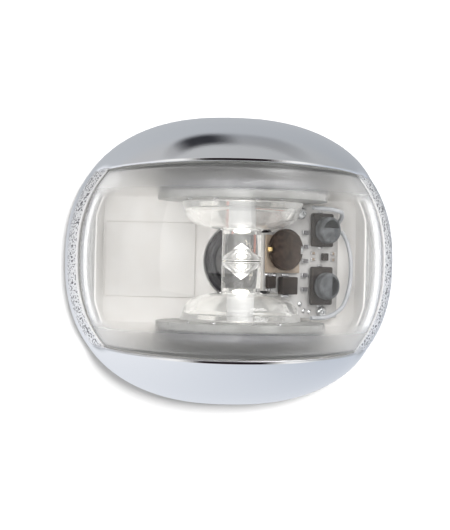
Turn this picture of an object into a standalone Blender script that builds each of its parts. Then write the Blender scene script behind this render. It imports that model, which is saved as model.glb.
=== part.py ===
"""Compact LED navigation light for a boat, as an assembly of separate pieces.

The light hangs on a vertical bulkhead. Its front faces -Y, +Z is up, and the origin is the
middle of the mounting face, which lies in the plane y = 0. "Depth" below is the distance in
front of the bulkhead, so a depth of d is y = -d. All dimensions are in millimetres and are
scaled to metres when a mesh is made.
"""

import math

import bmesh
import bpy
from mathutils import Matrix, Vector

MM = 0.001
GAP = 0.3  # room left between neighbouring pieces

# ---------------------------------------------------------------- driving dimensions

# chrome cover
BASE_HALF_WIDTH = 38.1
BASE_HALF_HEIGHT = 33.2
OUTLINE_POWER = 2.35  # superellipse power of every outline
COVER_BACK = 0.5
COVER_WALL = 1.6
SHOULDER_HALF_WIDTH = 36.3
SHOULDER_HALF_HEIGHT = 30.4
SHOULDER_DEPTH = 11.3
WINDOW_HALF_WIDTH = 34.5
WINDOW_OUTLINE_HEIGHT = 29.8  # where the window's side curves would meet the Z axis
WINDOW_CORNER_HEIGHT = 19.6
WINDOW_CROWN = 0.9  # how much the window's top edge rises to its middle
WINDOW_SIDE_DEPTH = 12.9
LIP_DEPTH = 42.8
LIP_THICKNESS = 2.0
CAP_SWEEP_MIDDLE = math.radians(52)
CAP_SWEEP_CORNER = math.radians(75)
SIDE_SWEEP = math.radians(65)

# lens
LENS_CLEARANCE = 0.35
LENS_WALL = 1.5
LENS_END_WALL = 0.8
LENS_BACK = 5.4
LENS_SIDE_DEPTH = 12.3
LENS_FRONT_DEPTH = 43.2
LENS_BARREL = 1.2  # how far the lens front falls back towards its top and bottom
LENS_FIRST_TURN = math.radians(2)  # where the curved wall starts, measured from straight ahead
LENS_STEPS = 8  # facets along each of the lens's four sides
FLANGE_WIDTH = 1.6
FLANGE_FRONT = 6.9

# base and gaskets
GASKET_THICKNESS = 1.2
PLATE_BACK = 1.5
PLATE_FRONT = 4.1
PLATE_HALF_WIDTH = 36.0
PLATE_HALF_HEIGHT = 31.0
LENS_GASKET_BACK = 4.4
LENS_GASKET_FRONT = 5.1
SCREW_HEIGHT = 26.2  # mounting-screw holes above and below the middle
SCREW_HOLE_RADIUS = 2.2
SCREW_BOSS_RADIUS = 4.4
SCREW_BOSS_FRONT = 6.5
RIB_HALF_LENGTH = 20.0  # straight ribs that locate the lens's end walls
RIB_BOTTOM = 17.4
RIB_TOP = 18.3
RIB_FRONT = 6.6
TONGUE_OFFSET = 9.5
TONGUE_TOP = 29.1
TONGUE_SIZE = (8.0, 1.6)
TONGUE_FRONT = 8.5

# reflector housing
WALL_DEPTH = 5.4
WALL_BACK = 4.4
WALL_HALF_WIDTH = 31.4
WALL_HALF_HEIGHT = 14.7
FLARE_DEPTH = 12.0
FLARE_HALF_WIDTH = 31.9
FLARE_HALF_HEIGHT = 17.7
FLARE_WALL = 0.4
HOUSING_GAP = 0.6  # room between the housing and the lens's side walls
FLARE_CORNER = 8.0
PANEL_LEFT = -29.0
PANEL_RIGHT = -8.0
PANEL_HALF_HEIGHT = 8.6
PANEL_FRONT = 5.9

# cable entry
GROMMET_X = 3.3
GROMMET_RADIUS = 9.0
GROMMET_CUP_RADIUS = 6.7
GROMMET_NECK_RADIUS = 6.5
GROMMET_BORE_RADIUS = 4.6
GROMMET_FRONT = 6.1
CABLE_HOLE_RADIUS = 6.9

# light guides, turned about a vertical axis in front of the wall
OPTIC_X = 1.8
OPTIC_DEPTH = 19.5
STEM_RADIUS = 4.3
STEM_TOP = 6.7
PIT_RADIUS = 3.7
PIT_HEIGHT = 4.0
BOWL_START_RADIUS = 4.9  # where the bowl's outside leaves the stem
BOWL_START_HEIGHT = 7.0
DISH_SHOULDER_RADIUS = 12.6
DISH_SHOULDER_HEIGHT = 10.9
DISH_RIM_RADIUS = 13.4
DISH_RIM_HEIGHT = 13.0
DISH_WALL = 1.2
WELL_RADIUS = 3.4  # the hole down the stem that takes the LED
WELL_TOP = 7.6
WELL_FLOOR = 5.9
HALF_GAP = 0.15  # each guide stays this far from the other's plane
LED_POST_RADIUS = 3.0
LED_POST_BOTTOM = 7.8
LED_HEIGHT = 6.2
LED_SIZE = 4.0
LED_BOARD_RADIUS = 18.6
LED_BOARD_BOTTOM = 13.3
LED_BOARD_TOP = 14.9
LED_BOARD_BACK = 7.9
SPREADER_BOTTOM = 15.2
SPREADER_TOP = 17.2
SPREADER_BACK = 12.7

# driver board, leaning back towards the right-hand side
BOARD_ANGLE = math.radians(33)
BOARD_X = 15.8
BOARD_DEPTH = 12.8  # depth of the middle of the board's front face
BOARD_WIDTH = 21.8
BOARD_BOTTOM = -12.6
BOARD_TOP = 12.9
BOARD_THICKNESS = 1.0
BOARD_NOTCH = 9.0  # width of the strip that is cut short beside the light guides
BOARD_CLEARANCE = 0.6  # room between that strip and the light guides' bowls
BOARD_POST_RADIUS = 1.6
BOARD_POST_DROP = 1.5  # the posts' flat tops stay this far behind the leaning board

SEGMENTS_TURNED = 36
SEGMENTS_HOLE = 24

# ---------------------------------------------------------------- scene helpers


def clear_scene():
    for old in list(bpy.data.objects):
        bpy.data.objects.remove(old, do_unlink=True)


def material(name, colour, roughness, metallic=0.0, transmission=0.0):
    mat = bpy.data.materials.new(name)
    mat.use_nodes = True
    shader = mat.node_tree.nodes["Principled BSDF"]
    shader.inputs["Base Color"].default_value = (*colour, 1.0)
    shader.inputs["Roughness"].default_value = roughness
    shader.inputs["Metallic"].default_value = metallic
    shader.inputs["Transmission Weight"].default_value = transmission
    mat.diffuse_color = (*colour, 1.0)
    return mat


def point(x, z, depth):
    """A point in metres from millimetres across, up and in front of the bulkhead."""
    return Vector((x * MM, -depth * MM, z * MM))


def add_object(name, mesh, mat, parent=None):
    piece = bpy.data.objects.new(name, mesh)
    bpy.context.scene.collection.objects.link(piece)
    mesh.materials.append(mat)
    piece.parent = parent
    return piece


def mesh_from(bm, name, smooth=True):
    bmesh.ops.recalc_face_normals(bm, faces=bm.faces[:])
    mesh = bpy.data.meshes.new(name)
    bm.to_mesh(mesh)
    bm.free()
    if smooth:
        mesh.shade_smooth()
        mesh.set_sharp_from_angle(angle=math.radians(35))
    return mesh


def lofted(name, loops, wrap=False):
    """A skin over closed loops of equal length: capped at both ends, or wrapped round."""
    bm = bmesh.new()
    rings = [[bm.verts.new(p) for p in loop] for loop in loops]
    count = len(rings[0])
    pairs = list(zip(rings, rings[1:]))
    if wrap:
        pairs.append((rings[-1], rings[0]))
    for first, second in pairs:
        for i in range(count):
            j = (i + 1) % count
            bm.faces.new((first[i], first[j], second[j], second[i]))
    if not wrap:
        bm.faces.new(rings[0])
        bm.faces.new(rings[-1])
    return mesh_from(bm, name)


def turned(name, profile, frame, segments=SEGMENTS_TURNED, closed=False):
    """A solid of revolution: profile is (radius, height) along frame's local Z.

    A profile that is not closed starts and ends on the axis, at radius 0.
    """
    bm = bmesh.new()
    rings = []
    for radius, height in profile:
        if radius == 0:
            rings.append([bm.verts.new(frame @ Vector((0, 0, height * MM)))])
            continue
        ring = []
        for i in range(segments):
            angle = 2 * math.pi * i / segments
            across = Vector((math.cos(angle) * radius, math.sin(angle) * radius, height)) * MM
            ring.append(bm.verts.new(frame @ across))
        rings.append(ring)
    pairs = list(zip(rings, rings[1:]))
    if closed:
        pairs.append((rings[-1], rings[0]))
    for first, second in pairs:
        for i in range(segments):
            j = (i + 1) % segments
            corners = [first[i % len(first)], first[j % len(first)]]
            corners += [second[j % len(second)], second[i % len(second)]]
            bm.faces.new(list(dict.fromkeys(corners)))
    return mesh_from(bm, name)


def block(name, low, high, bevel=0.0, frame=None):
    """A box from its low to its high corner, (x, z, depth), with bevelled edges."""
    bm = bmesh.new()
    bmesh.ops.create_cube(bm, size=1.0)
    size = [abs(b - a) * MM for a, b in zip(low, high)]
    middle = [(a + b) / 2 for a, b in zip(low, high)]
    bmesh.ops.scale(bm, vec=(size[0], size[2], size[1]), verts=bm.verts)
    bmesh.ops.translate(bm, vec=point(*middle), verts=bm.verts)
    if bevel:
        bmesh.ops.bevel(
            bm, geom=bm.edges[:], offset=bevel * MM, segments=1, affect="EDGES", profile=0.5
        )
    if frame is not None:
        bmesh.ops.transform(bm, matrix=frame, verts=bm.verts)
    return mesh_from(bm, name, smooth=False)


def prism(name, outline, back, front):
    """A flat piece with the given (x, z) outline between two depths."""
    return lofted(name, [[point(x, z, back) for x, z in outline],
                         [point(x, z, front) for x, z in outline]])


def depth_frame(x, z):
    """A frame at (x, z) on the bulkhead whose local Z runs towards the front."""
    return Matrix.Translation(point(x, z, 0)) @ Matrix.Rotation(math.radians(90), 4, "X")


def cylinder(name, x, z, radius, back, front, segments=SEGMENTS_HOLE):
    profile = [(0, back), (radius, back), (radius, front), (0, front)]
    return turned(name, profile, depth_frame(x, z), segments)


def boolean(target, mesh, operation):
    """Join a hidden solid to the target, or cut it away."""
    tool = bpy.data.objects.new(f"{mesh.name}_tool", mesh)
    bpy.context.scene.collection.objects.link(tool)
    tool.hide_render = True
    tool.display_type = "WIRE"
    tool.parent = target.parent
    step = target.modifiers.new(operation.lower(), "BOOLEAN")
    step.operation = operation
    step.solver = "EXACT"
    step.object = tool


# ---------------------------------------------------------------- outlines


def superellipse_x(z, half_width, half_height):
    share = max(0.0, 1.0 - (abs(z) / half_height) ** OUTLINE_POWER)
    return half_width * share ** (1 / OUTLINE_POWER)


def superellipse(half_width, half_height, count=64):
    loop = []
    for i in range(count):
        angle = 2 * math.pi * (i + 0.5) / count
        c, s = math.cos(angle), math.sin(angle)
        x = half_width * math.copysign(abs(c) ** (2 / OUTLINE_POWER), c)
        z = half_height * math.copysign(abs(s) ** (2 / OUTLINE_POWER), s)
        loop.append((x, z))
    return loop


def window_x(z):
    return superellipse_x(z, WINDOW_HALF_WIDTH, WINDOW_OUTLINE_HEIGHT)


WINDOW_CORNER_X = window_x(WINDOW_CORNER_HEIGHT)


def window_z(x):
    """Height of the window's top edge."""
    return WINDOW_CORNER_HEIGHT + WINDOW_CROWN * (1 - (x / WINDOW_CORNER_X) ** 2)


def rounded_rectangle(half_width, half_height, corner, steps=5):
    loop = []
    for quarter in range(4):
        sx = 1 if quarter in (0, 3) else -1
        sz = 1 if quarter in (0, 1) else -1
        for k in range(steps + 1):
            angle = math.radians(90 * (quarter + k / steps))
            x = sx * (half_width - corner) + corner * math.cos(angle)
            z = sz * (half_height - corner) + corner * math.sin(angle)
            loop.append((x, z))
    return loop


# ---------------------------------------------------------------- chrome cover


def cap_meridian(turn, sign, steps, inner):
    """Points from the cover's back edge to the window's lip, over the top or bottom cap.

    turn runs from 0 at the right-hand window corner to 1 at the left-hand one.
    """
    wall = COVER_WALL if inner else 0.0
    psi = math.pi * turn
    lip_x = WINDOW_CORNER_X * math.cos(psi)
    lip_z = window_z(lip_x)
    lip_depth = WINDOW_SIDE_DEPTH + (LIP_DEPTH - WINDOW_SIDE_DEPTH) * math.sin(psi)
    share = (WINDOW_CORNER_HEIGHT / BASE_HALF_HEIGHT) ** (OUTLINE_POWER / 2)
    start = math.asin(share)
    angle = start + (math.pi - 2 * start) * turn
    c = math.cos(angle)
    base_x = (BASE_HALF_WIDTH - wall) * math.copysign(abs(c) ** (2 / OUTLINE_POWER), c)
    base_z = (BASE_HALF_HEIGHT - wall) * math.sin(angle) ** (2 / OUTLINE_POWER)
    if inner:
        lip_depth -= LIP_THICKNESS
    sweep = CAP_SWEEP_CORNER + (CAP_SWEEP_MIDDLE - CAP_SWEEP_CORNER) * math.sin(psi)
    points = []
    for k in range(steps + 1):
        theta = sweep * k / steps
        out = (math.cos(theta) - math.cos(sweep)) / (1 - math.cos(sweep))
        rise = math.sin(theta) / math.sin(sweep)
        x = lip_x + (base_x - lip_x) * out
        z = lip_z + (base_z - lip_z) * out
        points.append(point(x, sign * z, COVER_BACK + (lip_depth - COVER_BACK) * rise))
    return points


def side_meridian(z, sign, steps, inner):
    """Points from the back edge up the side wall, over the shoulder to the window's side."""
    wall = COVER_WALL if inner else 0.0
    drop = 1.6 if inner else 0.0
    base_x = superellipse_x(z, BASE_HALF_WIDTH, BASE_HALF_HEIGHT) - wall
    shoulder_x = superellipse_x(z, SHOULDER_HALF_WIDTH, SHOULDER_HALF_HEIGHT) - wall * 0.9
    points = []
    for k in range(steps):
        theta = SIDE_SWEEP * k / (steps - 1)
        out = (math.cos(theta) - math.cos(SIDE_SWEEP)) / (1 - math.cos(SIDE_SWEEP))
        rise = math.sin(theta) / math.sin(SIDE_SWEEP)
        depth = COVER_BACK + (SHOULDER_DEPTH - drop - COVER_BACK) * rise
        points.append(point(sign * (shoulder_x + (base_x - shoulder_x) * out), z, depth))
    points.append(point(sign * window_x(z), z, WINDOW_SIDE_DEPTH - drop))
    return points


def cover_meridians(inner, steps=7, side_steps=8, cap_steps=16):
    """All meridians in order round the cover, starting at the lower right corner."""
    rows = []
    for i in range(side_steps + 1):
        z = WINDOW_CORNER_HEIGHT * (2 * i / side_steps - 1)
        rows.append(side_meridian(z, 1, steps, inner))
    for i in range(1, cap_steps):
        rows.append(cap_meridian(i / cap_steps, 1, steps, inner))
    for i in range(side_steps + 1):
        z = WINDOW_CORNER_HEIGHT * (1 - 2 * i / side_steps)
        rows.append(side_meridian(z, -1, steps, inner))
    for i in range(1, cap_steps):
        rows.append(cap_meridian(1 - i / cap_steps, -1, steps, inner))
    return rows


def make_cover(mat, parent):
    outer = cover_meridians(inner=False)
    inner = cover_meridians(inner=True)
    loops = [list(loop) for loop in zip(*outer)]
    loops += [list(loop) for loop in zip(*inner)][::-1]
    return add_object("chrome_cover", lofted("chrome_cover", loops, wrap=True), mat, parent)


# ---------------------------------------------------------------- lens and seals


def lens_half_width(z, turn, wall):
    """Half-width of the lens at a height, where its wall has turned this far from the front."""
    reach = window_x(min(abs(z), WINDOW_CORNER_HEIGHT)) - LENS_CLEARANCE - wall
    return reach * math.sin(turn)


def lens_depth(z, turn, wall):
    fall = LENS_BARREL * min(1.0, abs(z) / WINDOW_CORNER_HEIGHT) ** 2
    reach = LENS_FRONT_DEPTH - wall - fall - LENS_SIDE_DEPTH
    return LENS_SIDE_DEPTH + reach * math.cos(turn)


def lens_loop(turn, wall=0.0, end_wall=0.0, grow=0.0, depth=None):
    """Outline of the lens where its wall has turned this far from the front.

    A depth gives a flat outline behind the curved part, grown for the flange.
    """
    corner_x = lens_half_width(WINDOW_CORNER_HEIGHT, turn, wall) + grow
    end_depth = lens_depth(WINDOW_CORNER_HEIGHT, turn, wall) if depth is None else depth

    def top(x):
        return window_z(min(abs(x), WINDOW_CORNER_X)) - LENS_CLEARANCE - end_wall + grow

    loop = []
    corner_z = top(corner_x)
    for i in range(LENS_STEPS):
        z = corner_z * (2 * i / LENS_STEPS - 1)
        here = lens_depth(z, turn, wall) if depth is None else depth
        loop.append((lens_half_width(z, turn, wall) + grow, z, here))
    for i in range(LENS_STEPS):
        x = corner_x * (1 - 2 * i / LENS_STEPS)
        loop.append((x, top(x), end_depth))
    loop += [(-x, -z, here) for x, z, here in loop]
    return [point(x, z, here) for x, z, here in loop]


def close_front(bm, ring):
    """Close the lens's narrowest outline with strips from its right side to its left."""
    half = 2 * LENS_STEPS
    right = ring[:LENS_STEPS + 1]
    left = ring[half:half + LENS_STEPS + 1][::-1]
    for i in range(LENS_STEPS):
        bm.faces.new((right[i], right[i + 1], left[i + 1], left[i]))
    bm.faces.new(ring[LENS_STEPS:half + 1])
    bm.faces.new(ring[half + LENS_STEPS:] + [ring[0]])


def make_lens(mat, turns=11):
    side = math.pi / 2
    angles = [LENS_FIRST_TURN + (side - LENS_FIRST_TURN) * i / turns for i in range(turns + 1)]
    loops = [lens_loop(turn) for turn in angles]
    loops.append(lens_loop(side, depth=FLANGE_FRONT))
    loops.append(lens_loop(side, grow=FLANGE_WIDTH, depth=FLANGE_FRONT))
    loops.append(lens_loop(side, grow=FLANGE_WIDTH, depth=LENS_BACK))
    loops.append(lens_loop(side, LENS_WALL, LENS_END_WALL, depth=LENS_BACK))
    loops += [lens_loop(turn, LENS_WALL, LENS_END_WALL) for turn in angles[::-1]]
    bm = bmesh.new()
    rings = [[bm.verts.new(p) for p in loop] for loop in loops]
    count = len(rings[0])
    for first, second in zip(rings, rings[1:]):
        for i in range(count):
            j = (i + 1) % count
            bm.faces.new((first[i], first[j], second[j], second[i]))
    close_front(bm, rings[0])
    close_front(bm, rings[-1])
    add_object("lens", mesh_from(bm, "lens"), mat)


def flat_ring(name, outer, inner, back, front):
    """A flat ring between two matching loops of points at depth 0."""
    def at(loop, depth):
        return [Vector((p.x, -depth * MM, p.z)) for p in loop]

    loops = [at(outer, back), at(outer, front), at(inner, front), at(inner, back)]
    return lofted(name, loops, wrap=True)


def make_lens_gasket(mat):
    outer = lens_loop(math.pi / 2, grow=FLANGE_WIDTH, depth=0.0)
    inner = lens_loop(math.pi / 2, LENS_WALL - 0.4, LENS_END_WALL, depth=0.0)
    mesh = flat_ring("lens_gasket", outer, inner, LENS_GASKET_BACK, LENS_GASKET_FRONT)
    add_object("lens_gasket", mesh, mat)


# ---------------------------------------------------------------- base


def make_mounting_gasket(mat):
    outline = superellipse(PLATE_HALF_WIDTH, PLATE_HALF_HEIGHT)
    gasket = add_object("mounting_gasket", prism("mounting_gasket", outline, 0.0,
                                                 GASKET_THICKNESS), mat)
    cut_back, cut_front = -1.0, GASKET_THICKNESS + 1.0
    holes = [(GROMMET_X, 0.0, GROMMET_NECK_RADIUS + 1.0),
             (0.0, SCREW_HEIGHT, SCREW_HOLE_RADIUS + 0.4),
             (0.0, -SCREW_HEIGHT, SCREW_HOLE_RADIUS + 0.4)]
    for i, (x, z, radius) in enumerate(holes):
        tool = cylinder(f"gasket_hole_{i}", x, z, radius, cut_back, cut_front)
        boolean(gasket, tool, "DIFFERENCE")


def make_base_plate(mat):
    outline = superellipse(PLATE_HALF_WIDTH, PLATE_HALF_HEIGHT)
    plate = add_object("base_plate", prism("base_plate", outline, PLATE_BACK, PLATE_FRONT), mat)
    sunk = PLATE_FRONT - 0.8  # how deep the joined details start inside the plate

    for side in (1, -1):
        low, high = sorted((side * RIB_BOTTOM, side * RIB_TOP))
        rib = block(f"lens_rib_{side}", (-RIB_HALF_LENGTH, low, sunk),
                    (RIB_HALF_LENGTH, high, RIB_FRONT))
        boolean(plate, rib, "UNION")
        boss = cylinder(f"screw_boss_{side}", 0.0, side * SCREW_HEIGHT, SCREW_BOSS_RADIUS,
                        sunk, SCREW_BOSS_FRONT)
        boolean(plate, boss, "UNION")
        for across in (1, -1):
            middle = across * TONGUE_OFFSET
            low, high = sorted((side * TONGUE_TOP, side * (TONGUE_TOP - TONGUE_SIZE[1])))
            tongue = block(f"tongue_{side}_{across}",
                           (middle - TONGUE_SIZE[0] / 2, low, sunk),
                           (middle + TONGUE_SIZE[0] / 2, high, TONGUE_FRONT))
            boolean(plate, tongue, "UNION")
    cuts = [(0.0, SCREW_HEIGHT, SCREW_HOLE_RADIUS), (0.0, -SCREW_HEIGHT, SCREW_HOLE_RADIUS),
            (GROMMET_X, 0.0, CABLE_HOLE_RADIUS)]
    for i, (x, z, radius) in enumerate(cuts):
        tool = cylinder(f"plate_hole_{i}", x, z, radius, 0.0, SCREW_BOSS_FRONT + 2.0)
        boolean(plate, tool, "DIFFERENCE")


def make_grommet(mat):
    """Stepped rubber ring: a neck through the base plate and a wide cup inside."""
    cup_floor = PLATE_FRONT + GAP + 0.2
    profile = [
        (GROMMET_BORE_RADIUS, GASKET_THICKNESS),
        (GROMMET_NECK_RADIUS, GASKET_THICKNESS),
        (GROMMET_NECK_RADIUS, PLATE_FRONT + GAP),
        (GROMMET_RADIUS, PLATE_FRONT + GAP),
        (GROMMET_RADIUS, GROMMET_FRONT - 0.7),
        (GROMMET_RADIUS - 0.5, GROMMET_FRONT - 0.1),
        (GROMMET_RADIUS - 1.1, GROMMET_FRONT),
        (GROMMET_CUP_RADIUS + 0.4, GROMMET_FRONT - 0.2),
        (GROMMET_CUP_RADIUS, GROMMET_FRONT - 0.7),
        (GROMMET_CUP_RADIUS, cup_floor),
        (GROMMET_BORE_RADIUS, cup_floor),
    ]
    mesh = turned("cable_grommet", profile, depth_frame(GROMMET_X, 0.0), closed=True)
    add_object("cable_grommet", mesh, mat)


def make_potting(mat):
    bottom = PLATE_FRONT + 2 * GAP + 0.2
    profile = [
        (0, GASKET_THICKNESS + 0.3),
        (GROMMET_BORE_RADIUS - GAP, GASKET_THICKNESS + 0.3),
        (GROMMET_BORE_RADIUS - GAP, bottom),
        (GROMMET_CUP_RADIUS - GAP, bottom),
        (GROMMET_CUP_RADIUS - GAP, bottom + 0.35),
        (GROMMET_CUP_RADIUS - 1.5, bottom + 0.6),
        (0, bottom + 0.8),
    ]
    mesh = turned("cable_potting", profile, depth_frame(GROMMET_X, 0.0))
    add_object("cable_potting", mesh, mat)


# ---------------------------------------------------------------- reflector housing


def board_frame():
    """Local frame of the driver board: X along it, -Y out of its front, Z up."""
    place = Matrix.Translation(point(BOARD_X, 0.0, BOARD_DEPTH))
    return place @ Matrix.Rotation(BOARD_ANGLE, 4, "Z")


BOARD_SCREWS = [(-0.6, 11.1), (6.0, -11.2)]  # (across, up) on the board


def make_housing(mat):
    def tray(half_width, half_height, corner, depth, inset):
        loop = []
        for x, z in rounded_rectangle(half_width, half_height, corner):
            limit = window_x(z) - LENS_CLEARANCE - LENS_WALL - HOUSING_GAP - inset
            loop.append(point(max(-limit, min(limit, x)), z, depth))
        return loop

    loops = [
        tray(WALL_HALF_WIDTH, WALL_HALF_HEIGHT, 2.0, WALL_DEPTH, FLARE_WALL),
        tray(FLARE_HALF_WIDTH, FLARE_HALF_HEIGHT, FLARE_CORNER, FLARE_DEPTH, FLARE_WALL),
        tray(FLARE_HALF_WIDTH + FLARE_WALL, FLARE_HALF_HEIGHT + FLARE_WALL,
             FLARE_CORNER + FLARE_WALL, FLARE_DEPTH, 0.0),
        tray(WALL_HALF_WIDTH + FLARE_WALL, WALL_HALF_HEIGHT + FLARE_WALL,
             2.0 + FLARE_WALL, WALL_BACK, 0.0),
    ]
    housing = add_object("reflector_housing", lofted("reflector_housing", loops), mat)
    panel = block("wall_panel", (PANEL_LEFT, -PANEL_HALF_HEIGHT, WALL_DEPTH - 0.5),
                  (PANEL_RIGHT, PANEL_HALF_HEIGHT, PANEL_FRONT))
    boolean(housing, panel, "UNION")
    for i, (across, up) in enumerate(BOARD_SCREWS):
        foot = board_frame() @ Vector((across * MM, BOARD_THICKNESS * MM, up * MM))
        post = cylinder(f"board_post_{i}", foot.x / MM, up, BOARD_POST_RADIUS, WALL_DEPTH - 0.5,
                        -foot.y / MM - BOARD_POST_DROP, segments=12)
        boolean(housing, post, "UNION")
    hole = cylinder("grommet_opening", GROMMET_X, 0.0, GROMMET_RADIUS + 0.4, 2.0, 8.0, 36)
    boolean(housing, hole, "DIFFERENCE")


# ---------------------------------------------------------------- light guides and LEDs


def optic_frame(sign):
    """Frame on the optic's vertical axis, with local Z up (1) or down (-1)."""
    place = Matrix.Translation(point(OPTIC_X, 0.0, OPTIC_DEPTH))
    if sign < 0:
        place = place @ Matrix.Rotation(math.pi, 4, "X")
    return place


def bowl(start_radius, end_radius, start_height, end_height, steps):
    """Curve from a stem out to a dish wall: a quarter ellipse, steep at its outer end."""
    points = []
    for k in range(steps + 1):
        angle = math.pi / 2 * k / steps
        radius = start_radius + (end_radius - start_radius) * math.sin(angle)
        height = start_height + (end_height - start_height) * (1 - math.cos(angle))
        points.append((radius, height))
    return points


def guide_profile():
    outside = bowl(BOWL_START_RADIUS, DISH_SHOULDER_RADIUS, BOWL_START_HEIGHT,
                   DISH_SHOULDER_HEIGHT, 5)
    inside = bowl(WELL_RADIUS + 0.4, DISH_SHOULDER_RADIUS - DISH_WALL, WELL_TOP + 0.3,
                  DISH_SHOULDER_HEIGHT + 1.0, 5)
    profile = [(0, PIT_HEIGHT), (PIT_RADIUS, HALF_GAP), (STEM_RADIUS, HALF_GAP),
               (STEM_RADIUS, STEM_TOP)]
    profile += outside
    profile += [(DISH_RIM_RADIUS, DISH_RIM_HEIGHT), (DISH_RIM_RADIUS - DISH_WALL, DISH_RIM_HEIGHT)]
    profile += inside[::-1]
    return profile + [(WELL_RADIUS, WELL_TOP), (WELL_RADIUS, WELL_FLOOR), (0, WELL_FLOOR)]


def make_optics(mats):
    for side, sign in (("upper", 1), ("lower", -1)):
        frame = optic_frame(sign)
        add_object(f"{side}_light_guide",
                   turned(f"{side}_light_guide", guide_profile(), frame), mats["clear"])

        post_profile = [(0, LED_POST_BOTTOM), (LED_POST_RADIUS, LED_POST_BOTTOM),
                        (LED_POST_RADIUS, LED_BOARD_BOTTOM - GAP),
                        (0, LED_BOARD_BOTTOM - GAP)]
        add_object(f"{side}_led_post",
                   turned(f"{side}_led_post", post_profile, frame, 20), mats["aluminium"])

        led_profile = [(0, LED_HEIGHT), (0.7, LED_HEIGHT + 0.12), (1.15, LED_HEIGHT + 0.5),
                       (LED_SIZE / math.sqrt(2), LED_HEIGHT + 0.55),
                       (LED_SIZE / math.sqrt(2), LED_POST_BOTTOM - GAP),
                       (0, LED_POST_BOTTOM - GAP)]
        turn = frame @ Matrix.Rotation(math.radians(45), 4, "Z")
        add_object(f"{side}_led", turned(f"{side}_led", led_profile, turn, 4), mats["led"])

        make_disc(f"{side}_led_board", sign, LED_BOARD_BOTTOM, LED_BOARD_TOP, LED_BOARD_BACK,
                  mats["board"])
        make_disc(f"{side}_heat_spreader", sign, SPREADER_BOTTOM, SPREADER_TOP, SPREADER_BACK,
                  mats["aluminium"])


def make_disc(name, sign, bottom, top, back, mat):
    """A disc with a flat back edge, under the lens's end wall."""
    start = -math.acos((OPTIC_DEPTH - back) / LED_BOARD_RADIUS)
    count = 28
    outline = []
    for i in range(count + 1):
        angle = math.pi + start - (2 * math.pi + 2 * start) * i / count
        depth = OPTIC_DEPTH + LED_BOARD_RADIUS * math.cos(angle)
        outline.append((OPTIC_X + LED_BOARD_RADIUS * math.sin(angle), depth))
    heights = (sign * bottom, sign * top)
    loops = [[point(x, z, depth) for x, depth in outline] for z in heights]
    add_object(name, lofted(name, loops), mat)


# ---------------------------------------------------------------- driver board


def board_reach(across):
    """How far up and down the driver board may go beside the light guides' bowls."""
    place = board_frame() @ Vector((across * MM, 0.0, 0.0))
    radius = math.hypot(place.x / MM - OPTIC_X, -place.y / MM - OPTIC_DEPTH)
    share = (radius - BOWL_START_RADIUS) / (DISH_SHOULDER_RADIUS - BOWL_START_RADIUS)
    share = max(0.0, min(1.0, share))
    rise = (DISH_SHOULDER_HEIGHT - BOWL_START_HEIGHT) * (1 - math.sqrt(1 - share ** 2))
    return BOWL_START_HEIGHT + rise - BOARD_CLEARANCE


def make_driver_board(mats):
    """The leaning circuit board and what is soldered to it, placed by one empty."""
    holder = bpy.data.objects.new("driver_board_frame", None)
    bpy.context.scene.collection.objects.link(holder)
    holder.matrix_world = board_frame()

    half = BOARD_WIDTH / 2
    notch = -half + BOARD_NOTCH
    steps = 6
    cut = [-half + BOARD_NOTCH * i / steps for i in range(steps + 1)]
    outline = [(x, -board_reach(x)) for x in cut]
    outline += [(notch, BOARD_BOTTOM), (half, BOARD_BOTTOM), (half, BOARD_TOP), (notch, BOARD_TOP)]
    outline += [(x, board_reach(x)) for x in cut[::-1]]
    board = add_object("driver_board", prism("driver_board", outline, -BOARD_THICKNESS, 0.0),
                       mats["board"], holder)
    for i, (across, up) in enumerate(BOARD_SCREWS):
        tool = cylinder(f"board_hole_{i}", across, up, 0.9, -2.0, 2.0, 16)
        boolean(board, tool, "DIFFERENCE")
        make_board_screw(i + 1, across, up, mats["steel"], holder)

    make_choke(mats, holder)
    solder = GAP  # parts stand this far off the board

    def part(name, x, z, width, height, thick, mat, bevel=0.15, lift=0.0):
        mesh = block(name, (x - width / 2, z - height / 2, solder + lift),
                     (x + width / 2, z + height / 2, solder + lift + thick), bevel)
        add_object(name, mesh, mat, holder)

    part("protection_diode", -4.7, -5.2, 4.4, 3.9, 1.8, mats["package"])
    part("driver_chip", -9.2, -4.5, 2.4, 2.6, 1.0, mats["package"])
    part("sense_chip", 6.4, 1.4, 1.8, 1.7, 0.8, mats["package"])
    for i in range(5):
        part(f"resistor_{i + 1}", RESISTOR_X, RESISTOR_TOP - RESISTOR_PITCH * i, 1.2, 0.9, 0.55,
             mats["ceramic"], 0.05)
    make_capacitor("input", CAPACITOR_X, 7.5, 6.4, 7.6, mats, holder)
    make_capacitor("output", CAPACITOR_X, -5.2, 6.4, 8.7, mats, holder)


def make_board_screw(number, across, up, mat, holder):
    profile = [(0, -BOARD_THICKNESS - 0.1), (0.6, -BOARD_THICKNESS - 0.1), (0.6, 0.2), (1.35, 0.3),
               (1.35, 0.7), (1.0, 1.0), (0, 1.1)]
    mesh = turned(f"board_screw_{number}", profile, depth_frame(across, up), 16)
    add_object(f"board_screw_{number}", mesh, mat, holder)


CHOKE_X, CHOKE_Z, CHOKE_RADIUS = -5.9, 2.8, 4.6
CHOKE_BASE_HALF_WIDTH = 4.8
CHOKE_BASE_LOW, CHOKE_BASE_HIGH = -2.4, 6.0
CHOKE_BASE_TOP = 0.8
CHOKE_TOP = 2.4
RESISTOR_X, RESISTOR_TOP, RESISTOR_PITCH = 0.7, 6.8, 3.2
CAPACITOR_X = 5.3
CAPACITOR_RADIUS = 3.0


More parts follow.
